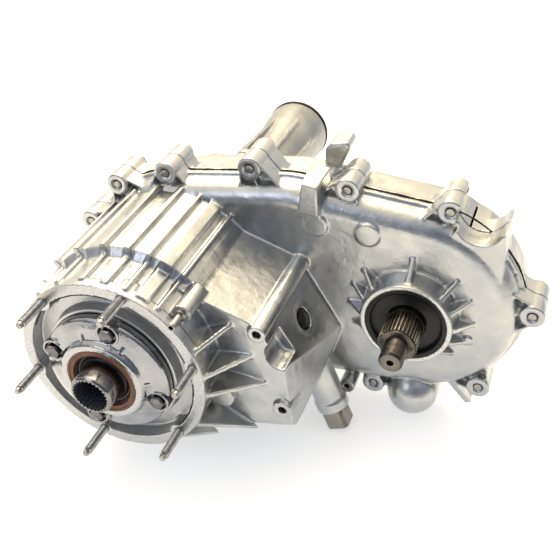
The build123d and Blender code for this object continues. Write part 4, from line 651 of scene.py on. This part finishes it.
def polar(radius: float, degrees: float, centre: Pair = (0.0, 0.0)) -> Pair:
    """Give the (x, z) point at a radius and angle about a shaft axis."""
    turn = math.radians(degrees)
    return centre[0] + radius * math.cos(turn), centre[1] + radius * math.sin(turn)


def joined(name: str, pieces: Sequence[bpy.types.Object]) -> bpy.types.Object:
    """Join pieces into the first and name the result."""
    choose(pieces[0])
    for piece in pieces[1:]:
        piece.select_set(True)
    bpy.ops.object.join()
    pieces[0].name = name
    return pieces[0]


def copy_at(model: bpy.types.Object, x: float, z: float, turn: float = 0.0) -> bpy.types.Object:
    """Copy a piece that was modelled on the Y axis to another (x, z), with its own mesh.

    Args:
        model: The piece to copy.
        x: The place's X in millimetres.
        z: The place's Z in millimetres.
        turn: A turn about Y in degrees.

    Returns:
        The copy.
    """
    made = model.copy()
    made.data = model.data.copy()
    bpy.context.scene.collection.objects.link(made)
    made.data.transform(
        Matrix.Translation((x * MM, 0.0, z * MM)) @ Matrix.Rotation(math.radians(turn), 4, "Y")
    )
    return made


@dataclass(frozen=True)
class CastPlan:
    """How one casting is softened: its voxel, smoothing rounds, most triangles and finish."""

    node: str
    voxel_mm: float
    rounds: int
    most_faces: int
    finish: Finish
    crease_degrees: float = 60.0


@dataclass
class Castings:
    """The castings: softened copies of the CAD solids, with edges as a mould leaves them."""

    plans: tuple[CastPlan, ...] = (
        CastPlan("front_case", 1.2, 2, 190_000, Finishes.cast),
        CastPlan("rear_case", 1.5, 2, 170_000, Finishes.cast),
        CastPlan("extension_housing", 1.5, 3, 120_000, Finishes.sand_cast),
        CastPlan("input_retainer", 0.8, 3, 80_000, Finishes.tumbled),
    )

    def cast(self, plan: CastPlan) -> bpy.types.Object:
        """Round a solid's edges as a mould does, by remeshing and smoothing.

        Args:
            plan: The casting's plan.

        Returns:
            The casting.
        """
        piece = merged_copy(plan.node, plan.node + "_cast")
        apply_modifier(piece, "REMESH", mode="VOXEL", voxel_size=plan.voxel_mm * MM)
        apply_modifier(piece, "SMOOTH", factor=0.5, iterations=plan.rounds)
        triangles = sum(len(face.vertices) - 2 for face in piece.data.polygons)
        if triangles > plan.most_faces:
            apply_modifier(piece, "DECIMATE", ratio=plan.most_faces / triangles)
        shade(piece, plan.crease_degrees)
        return piece

    def build(self) -> None:
        """Make and dress each casting."""
        for plan in self.plans:
            dress(self.cast(plan), Body.CASE.value, plan.finish, [plan.node])


@dataclass
class SmallParts:
    """Fasteners, shafts and fittings that show: copies of the CAD solids with broken edges."""

    widths: dict[str, float] = field(default_factory=lambda: {
        "input_shaft": 0.4, "front_output_shaft": 0.3, "sector_shaft": 0.6, "mainshaft": 0.3,
        "retainer_bolts": 0.5, "case_bolts": 0.5, "extension_bolts": 0.5, "case_plugs": 0.7,
        "mode_switch": 0.5, "speed_sensor": 0.6, "sector_seal": 0.4, "tail_seal": 0.6,
    })
    finishes: dict[str, Finish] = field(default_factory=lambda: {
        "input_shaft": Finishes.nose, "retainer_bolts": Finishes.dull_zinc,
    })
    tip_station: float = 80.0
    tip_drill: Pair = (3.6, 6.0)

    def drill(self, piece: bpy.types.Object, centre: Pair, station: float) -> None:
        """Sink a centre hole in the flat end of a shaft.

        Args:
            piece: The shaft.
            centre: The shaft axis's (x, z) in millimetres.
            station: The end's station in millimetres.
        """
        middle = Vector((centre[0] * MM, station * MM, centre[1] * MM))
        end = min(piece.data.polygons, key=lambda face: (face.center - middle).length)
        reach = max((piece.data.vertices[i].co - middle).length for i in end.vertices)
        radius, depth = (size * MM for size in self.tip_drill)
        number = end.index
        choose(piece)
        bpy.ops.object.mode_set(mode="EDIT")
        bpy.ops.mesh.select_all(action="DESELECT")
        bpy.ops.object.mode_set(mode="OBJECT")
        piece.data.polygons[number].select = True
        bpy.ops.object.mode_set(mode="EDIT")
        bpy.ops.mesh.inset(thickness=reach - radius)
        bpy.ops.mesh.extrude_region_move(TRANSFORM_OT_translate={"value": (0.0, depth, 0.0)})
        bpy.ops.mesh.extrude_region_move(TRANSFORM_OT_translate={"value": (0.0, radius / 2, 0.0)})
        bpy.ops.mesh.merge(type="CENTER")
        bpy.ops.object.mode_set(mode="OBJECT")

    def build(self) -> None:
        """Copy, ease and dress each part on its own body."""
        for node, width in self.widths.items():
            piece = eased_copy(node, node + "_eased", width)
            if node == "front_output_shaft":
                self.drill(piece, OUTPUT_AXIS, self.tip_station)
                shade(piece)
            slot = SLOT_OF_NODE[node]
            finish = self.finishes.get(node, FINISH_OF_SLOT[slot])
            dress(piece, BODY_OF_NODE[node], finish, [node])


@dataclass
class Studs:
    """The six studs of the input ring: a rolled thread with a plain dog point."""

    count: int = 6
    start_degrees: float = 17.0
    circle_radius: float = 93.0
    radius: float = 4.75
    root_depth: float = 0.75
    point_radius: float = 3.5
    chamfer: Pair = (0.6, 0.8)
    tip_station: float = -38.0
    thread_start: float = -33.0
    foot_station: float = 6.0
    pitch: float = 1.5
    rows_per_pitch: int = 6
    steps: int = 20
    turn_between: float = 40.0
    crease_degrees: float = 50.0
    core_margin: float = 0.01

    def profile(self) -> list[Pair]:
        """Give the stud's closed section, with rows for the thread, as (radius, station)."""
        rows = int((self.foot_station - self.thread_start) / self.pitch * self.rows_per_pitch)
        gap = (self.foot_station - self.thread_start) / rows
        shorter, longer = self.chamfer
        tip = [
            (0.0, self.tip_station),
            (self.point_radius - shorter, self.tip_station),
            (self.point_radius, self.tip_station + longer),
            (self.point_radius, self.thread_start - longer),
        ]
        thread = [(self.radius, self.thread_start + i * gap) for i in range(rows + 1)]
        return [*tip, *thread, (0.0, self.foot_station)]

    def cut_thread(self, stud: bpy.types.Object) -> None:
        """Press a single-start thread into the stud's cylinder."""
        for vertex in stud.data.vertices:
            x, y, z = vertex.co / MM
            reach = math.hypot(x, z)
            if y < self.thread_start or reach < self.radius - self.core_margin:
                continue
            phase = (y / self.pitch - math.atan2(z, x) / math.tau) % 1.0
            fade = min(1.0, (y - self.thread_start) / self.pitch)
            share = (self.radius - self.root_depth * fade * (1 - abs(2 * phase - 1))) / reach
            vertex.co = Vector((x * share, y, z * share)) * MM

    def build(self) -> None:
        """Turn one stud, thread it and copy it round the ring."""
        model = lathe("stud_model", self.profile(), steps=self.steps)
        self.cut_thread(model)
        shade(model, self.crease_degrees)
        studs = []
        for i in range(self.count):
            x, z = polar(self.circle_radius, self.start_degrees + i * 360 / self.count)
            studs.append(copy_at(model, x, z, turn=self.turn_between * i))
        bpy.data.objects.remove(model)
        piece = joined("input_studs_threaded", studs)
        dress(piece, Body.CASE.value, Finishes.stud, ["input_studs"])


@dataclass(frozen=True)
class TurnedPart:
    """A piece of revolution: name, axis, section, finish, slot and the node that it replaces."""

    name: str
    centre: Pair
    profile: tuple[Pair, ...]
    finish: Finish
    slot: Slot
    node: str


@dataclass
class Seals:
    """The two front seals: a pressed outer ring with a rubber lip that dips to its shaft."""

    parts: tuple[TurnedPart, ...] = (
        TurnedPart("input_seal_case", MAIN_AXIS, (
            (36.9, -19.6), (36.9, -11.2), (30.6, -11.2), (30.6, -18.4), (31.2, -19.2),
            (34.6, -19.2), (35.2, -19.9), (36.4, -19.9),
        ), Finishes.fluoro, Slot.BROWN_RUBBER, "input_seal"),
        TurnedPart("input_seal_lip", MAIN_AXIS, (
            (30.5, -11.4), (30.5, -17.0), (30.0, -17.4), (29.2, -16.8), (28.2, -14.4),
            (26.4, -13.8), (25.2, -15.6), (23.8, -16.6), (22.35, -15.4), (22.35, -11.4),
        ), Finishes.nitrile, Slot.BLACK_RUBBER, "input_seal"),
        TurnedPart("output_seal_lip", OUTPUT_AXIS, (
            (41.9, 141.0), (41.9, 148.8), (20.4, 148.8), (20.4, 146.6), (21.2, 145.6),
            (24.5, 146.4), (29.5, 147.2), (34.5, 146.8), (36.0, 145.4), (36.8, 142.0),
            (37.8, 141.0), (39.0, 140.7), (39.8, 141.2), (41.0, 141.2),
        ), Finishes.nitrile, Slot.BLACK_RUBBER, "output_seal"),
    )

    def build(self) -> None:
        """Turn and dress each ring of the seals."""
        for part in self.parts:
            piece = lathe(part.name, part.profile, part.centre)
            shade(piece, LATHE_CREASE_DEGREES)
            dress(piece, Body.CASE.value, part.finish, [part.node])


@dataclass
class SealantAndShadowBeads:
    """The black sealant squeezed out on the seam; a bead of painted shade round the input's hub.
    """

    seam_circles: tuple[tuple[float, float, float], ...] = (
        (0.0, 0.0, 118.3), (258.0, 20.5, 112.3), (125.0, 27.0, 113.3),
    )
    seam_station: float = 197.3
    circle_points: int = 300
    circle_step_degrees: float = 1.2
    # The bead round the hub is painted shade: a dark line laid where the gap between the hub and
    # the ring face lies in shadow.
    hub_radius: float = 87.3
    hub_station: float = 1.6
    hub_turn: Pair = (-42.0, 158.0)
    hub_step_degrees: float = 1.5
    thick: Pair = (0.25, 1.5)
    wave_mm: float = 14.0
    ragged_share: float = 0.25
    ragged_scale: float = 3.7
    step_mm: float = 2.5
    crease_degrees: float = 70.0

    def outline(self) -> list[Pair]:
        """Give the seam's outline: the hull round the circles of its three arcs."""
        points = sorted(
            polar(radius, i * self.circle_step_degrees, (x, z))
            for x, z, radius in self.seam_circles
            for i in range(self.circle_points)
        )
        hull: list[Pair] = []
        for row in (points, points[::-1]):
            half: list[Pair] = []
            for point in row:
                while len(half) > 1 and self.lies_inside(half[-2], half[-1], point):
                    half.pop()
                half.append(point)
            hull += half[:-1]
        return self.spaced(hull)

    @staticmethod
    def lies_inside(first: Pair, second: Pair, third: Pair) -> bool:
        """Tell whether the middle point of three lies inside the hull."""
        (ax, az), (bx, bz), (cx, cz) = first, second, third
        return (bx - ax) * (cz - az) <= (bz - az) * (cx - ax)

    def spaced(self, line: Sequence[Pair]) -> list[Pair]:
        """Walk a closed line and give points at even steps along it."""
        made: list[Pair] = []
        left = 0.0
        for (ax, az), (bx, bz) in zip(line, [*line[1:], line[0]]):
            span = math.hypot(bx - ax, bz - az)
            while left < span:
                share = left / span
                made.append((ax + (bx - ax) * share, az + (bz - az) * share))
                left += self.step_mm
            left -= span
        return made

    def bead(
        self, name: str, line: Sequence[Pair], station: float, closed: bool
    ) -> bpy.types.Object:
        """Lay an uneven bead along a line across the shafts.

        Args:
            name: The piece's name.
            line: (x, z) points in millimetres.
            station: The bead's station in millimetres.
            closed: Whether the bead meets its own start.

        Returns:
            The bead as a closed mesh.
        """
        data = bpy.data.curves.new(name, "CURVE")
        data.dimensions = "3D"
        data.bevel_depth = MM
        data.bevel_resolution = 2
        data.use_fill_caps = True
        spline = data.splines.new("POLY")
        spline.points.add(len(line) - 1)
        spline.use_cyclic_u = closed
        low, high = self.thick
        for point, (x, z) in zip(spline.points, line):
            here = Vector((x, station, z)) / self.wave_mm
            swell = 0.5 + 0.5 * noise.noise(here)
            ragged = self.ragged_share * noise.noise(here * self.ragged_scale)
            point.co = (x * MM, (station + ragged) * MM, z * MM, 1.0)
            point.radius = low + (high - low) * max(0.0, min(1.0, swell + ragged))
        piece = add_object(name, data)
        choose(piece)
        bpy.ops.object.convert(target="MESH")
        piece = bpy.context.active_object
        shade(piece, self.crease_degrees)
        return piece

    def build(self) -> None:
        """Lay both beads."""
        seam = self.bead("seam_sealant_bead", self.outline(), self.seam_station, True)
        dress(seam, Body.CASE.value, Finishes.sealant)
        first, last = self.hub_turn
        steps = int((last - first) / self.hub_step_degrees)
        arc = [
            polar(self.hub_radius, first + (last - first) * i / steps) for i in range(steps + 1)
        ]
        hub = self.bead("hub_painted_shadow_bead", arc, self.hub_station, False)
        dress(hub, Body.CASE.value, Finishes.sealant)


@dataclass
class VentTube:
    """The vent's tube on the housing: a barbed steel tube with an open bore."""

    circle_radius: float = 104.0
    degrees: float = 46.0
    steps: int = 48
    profile: tuple[Pair, ...] = (
        (2.5, -3.0), (3.7, -3.0), (4.3, -2.4), (4.3, 0.2), (3.6, 0.9), (3.6, 14.6), (5.8, 15.0),
        (5.8, 18.2), (3.4, 18.2), (3.4, 26.0), (0.0, 26.0), (0.0, 24.0), (2.5, 24.0),
    )

    def build(self) -> None:
        """Turn and dress the tube."""
        centre = polar(self.circle_radius, self.degrees)
        piece = lathe("vent_tube", self.profile, centre, self.steps)
        shade(piece, LATHE_CREASE_DEGREES)
        dress(piece, Body.CASE.value, Finishes.zinc, ["vent_nipple"])


@dataclass
class DetentSpring:
    """The detent's coil spring, copied at one length, though the real one shortens as its plunger
    slides in.
    """

    node: str = "detent_spring"
    joint: str = "detent_slide"
    travel: float = 2.0
    crease_degrees: float = 50.0

    def build(self) -> None:
        """Copy and dress the spring."""
        piece = merged_copy(self.node, "detent_spring_wound")
        shade(piece, self.crease_degrees)
        dress(piece, Body.CASE.value, Finishes.stud, [self.node])
        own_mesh(piece)


@dataclass(frozen=True)
class SoftBox:
    """A square lamp: its name, place and side in millimetres, watts and colour."""

    name: str
    place: Triple
    size: float
    watts: float
    colour: str


@dataclass
class Studio:
    """The floor, the lamps, the graded world and the camera at the photograph's angle."""

    eye: Triple = (369.7, -523.8, 563.7)
    right: Triple = (0.93797, 0.34670, 0.0)
    up: Triple = (-0.20537, 0.55561, 0.80568)
    ahead: Triple = (-0.27933, 0.75571, -0.59235)
    lens_mm: float = 54.64
    middle: Triple = (130.0, 160.0, 0.0)
    sensor_mm: float = 36.0
    nearest_m: float = 0.01
    floor_half_m: float = 6.0
    floor_gap: float = 0.2
    floor_glow: float = 0.48
    paper: str = "#E4E4E4"
    sky_way: Triple = (-0.25, 0.55, 0.797)
    sky_strength: Pair = (0.36, 1.85)
    sky_lean: Pair = (-0.2, 1.0)
    sky_low: str = "#D3DEF2"
    sky_high: str = "#FFF0D0"
    hue_lean: Pair = (0.0, 0.9)
    boxes: tuple[SoftBox, ...] = (
        SoftBox("key_soft_box", (-500.0, 800.0, 1300.0), 1300.0, 30.0, "#FFEFCF"),
        SoftBox("fill_soft_box", (-600.0, -1100.0, 1000.0), 700.0, 4.0, "#E6EEFF"),
    )

    def camera(self) -> None:
        """Place the camera where the photograph was taken."""
        data = bpy.data.cameras.new("camera")
        data.lens = self.lens_mm
        data.sensor_width = self.sensor_mm
        data.clip_start = self.nearest_m
        camera = add_object("camera", data)
        turn = Matrix((self.right, self.up, tuple(-v for v in self.ahead))).transposed()
        camera.matrix_world = Matrix.Translation(Vector(self.eye) * MM) @ turn.to_4x4()
        bpy.context.scene.camera = camera

    def floor(self) -> None:
        """Lay a pale floor under the lowest point of the case."""
        deselect()
        bpy.ops.mesh.primitive_plane_add(
            size=2 * self.floor_half_m, location=(0.0, 0.0, CAD_BOX[0].z - self.floor_gap * MM)
        )
        floor = bpy.context.active_object
        floor.name = "studio_floor"
        made = bpy.data.materials.new("paper_white_matt")
        made.use_nodes = True
        tree = made.node_tree
        tree.nodes.clear()
        ray = add_node(tree, "LightPath").outputs
        seen = ray["Is Camera Ray"]
        for kind in ("Is Glossy Ray", "Is Transmission Ray"):
            seen = add_node(tree, "Math", {0: seen, 1: ray[kind]}, operation="MAXIMUM").outputs[0]
        glow = add_node(tree, "Emission", {"Color": WHITE, "Strength": self.floor_glow})
        paper = add_node(tree, "BsdfDiffuse", {"Color": linear(self.paper)})
        both = add_node(tree, "AddShader", {0: glow.outputs[0], 1: paper.outputs[0]})
        mixed = add_node(tree, "MixShader", {0: seen, 1: paper.outputs[0], 2: both.outputs[0]})
        add_node(tree, "OutputMaterial", {"Surface": mixed.outputs[0]})
        floor.data.materials.append(made)

    def world(self) -> None:
        """Surround the case with a sky that is brighter and warmer behind, white to the camera."""
        world = bpy.data.worlds.new("studio_world")
        bpy.context.scene.world = world
        world.use_nodes = True
        tree = world.node_tree
        tree.nodes.clear()
        seen = add_node(tree, "LightPath").outputs["Is Camera Ray"]
        way = add_node(tree, "TexCoord").outputs["Generated"]
        dot = add_node(tree, "VectorMath", {0: way, 1: self.sky_way}, operation="DOT_PRODUCT")
        lean = dot.outputs["Value"]
        sky = add_node(tree, "MapRange", {
            "Value": lean, "From Min": self.sky_lean[0], "From Max": self.sky_lean[1],
            "To Min": self.sky_strength[0], "To Max": self.sky_strength[1],
        }, interpolation_type="SMOOTHSTEP")
        hue = add_node(tree, "MixRGB", {
            "Fac": span_share(tree, lean, self.hue_lean),
            "Color1": linear(self.sky_low),
            "Color2": linear(self.sky_high),
        })
        fill = add_node(tree, "Background", {"Color": hue.outputs[0], "Strength": sky.outputs[0]})
        white = add_node(tree, "Background", {"Color": WHITE, "Strength": 1.0})
        mixed = add_node(tree, "MixShader", {0: seen, 1: fill.outputs[0], 2: white.outputs[0]})
        add_node(tree, "OutputWorld", {"Surface": mixed.outputs[0]})

    def lamp(self, box: SoftBox) -> None:
        """Add a soft box that points at the middle of the case."""
        data = bpy.data.lights.new(box.name, "AREA")
        data.shape = "SQUARE"
        data.size = box.size * MM
        data.energy = box.watts
        data.color = linear(box.colour)[:3]
        lamp = add_object(box.name, data)
        lamp.location = Vector(box.place) * MM
        way = (Vector(self.middle) - Vector(box.place)).normalized()
        lamp.rotation_mode = "QUATERNION"
        lamp.rotation_quaternion = way.to_track_quat("-Z", "Y")

    def build(self) -> None:
        """Set the whole studio up."""
        bpy.context.scene.view_settings.view_transform = "Standard"
        self.camera()
        self.floor()
        self.world()
        for box in self.boxes:
            self.lamp(box)


@dataclass
class InnerWorks:
    """Every CAD node's own finish, from the slot that the record gives it."""

    slots: dict[str, str] = field(default_factory=lambda: dict(SLOT_OF_NODE))

    def build(self) -> None:
        """Assign the finishes to the nodes' material slots."""
        for name, node in frame["nodes"].items():
            finish = FINISH_OF_SLOT[self.slots[name]]
            node.data.materials.clear()
            node.data.materials.append(finish.material())
            LOG.info("%s is %s", name, finish.name)


def main() -> None:
    """Dress the case, then set up the studio."""
    logging.basicConfig(level=logging.INFO, format="%(name)s: %(message)s")
    InnerWorks().build()
    Castings().build()
    SmallParts().build()
    Studs().build()
    Seals().build()
    SealantAndShadowBeads().build()
    VentTube().build()
    DetentSpring().build()
    Studio().build()


if __name__ == "__main__":
    main()
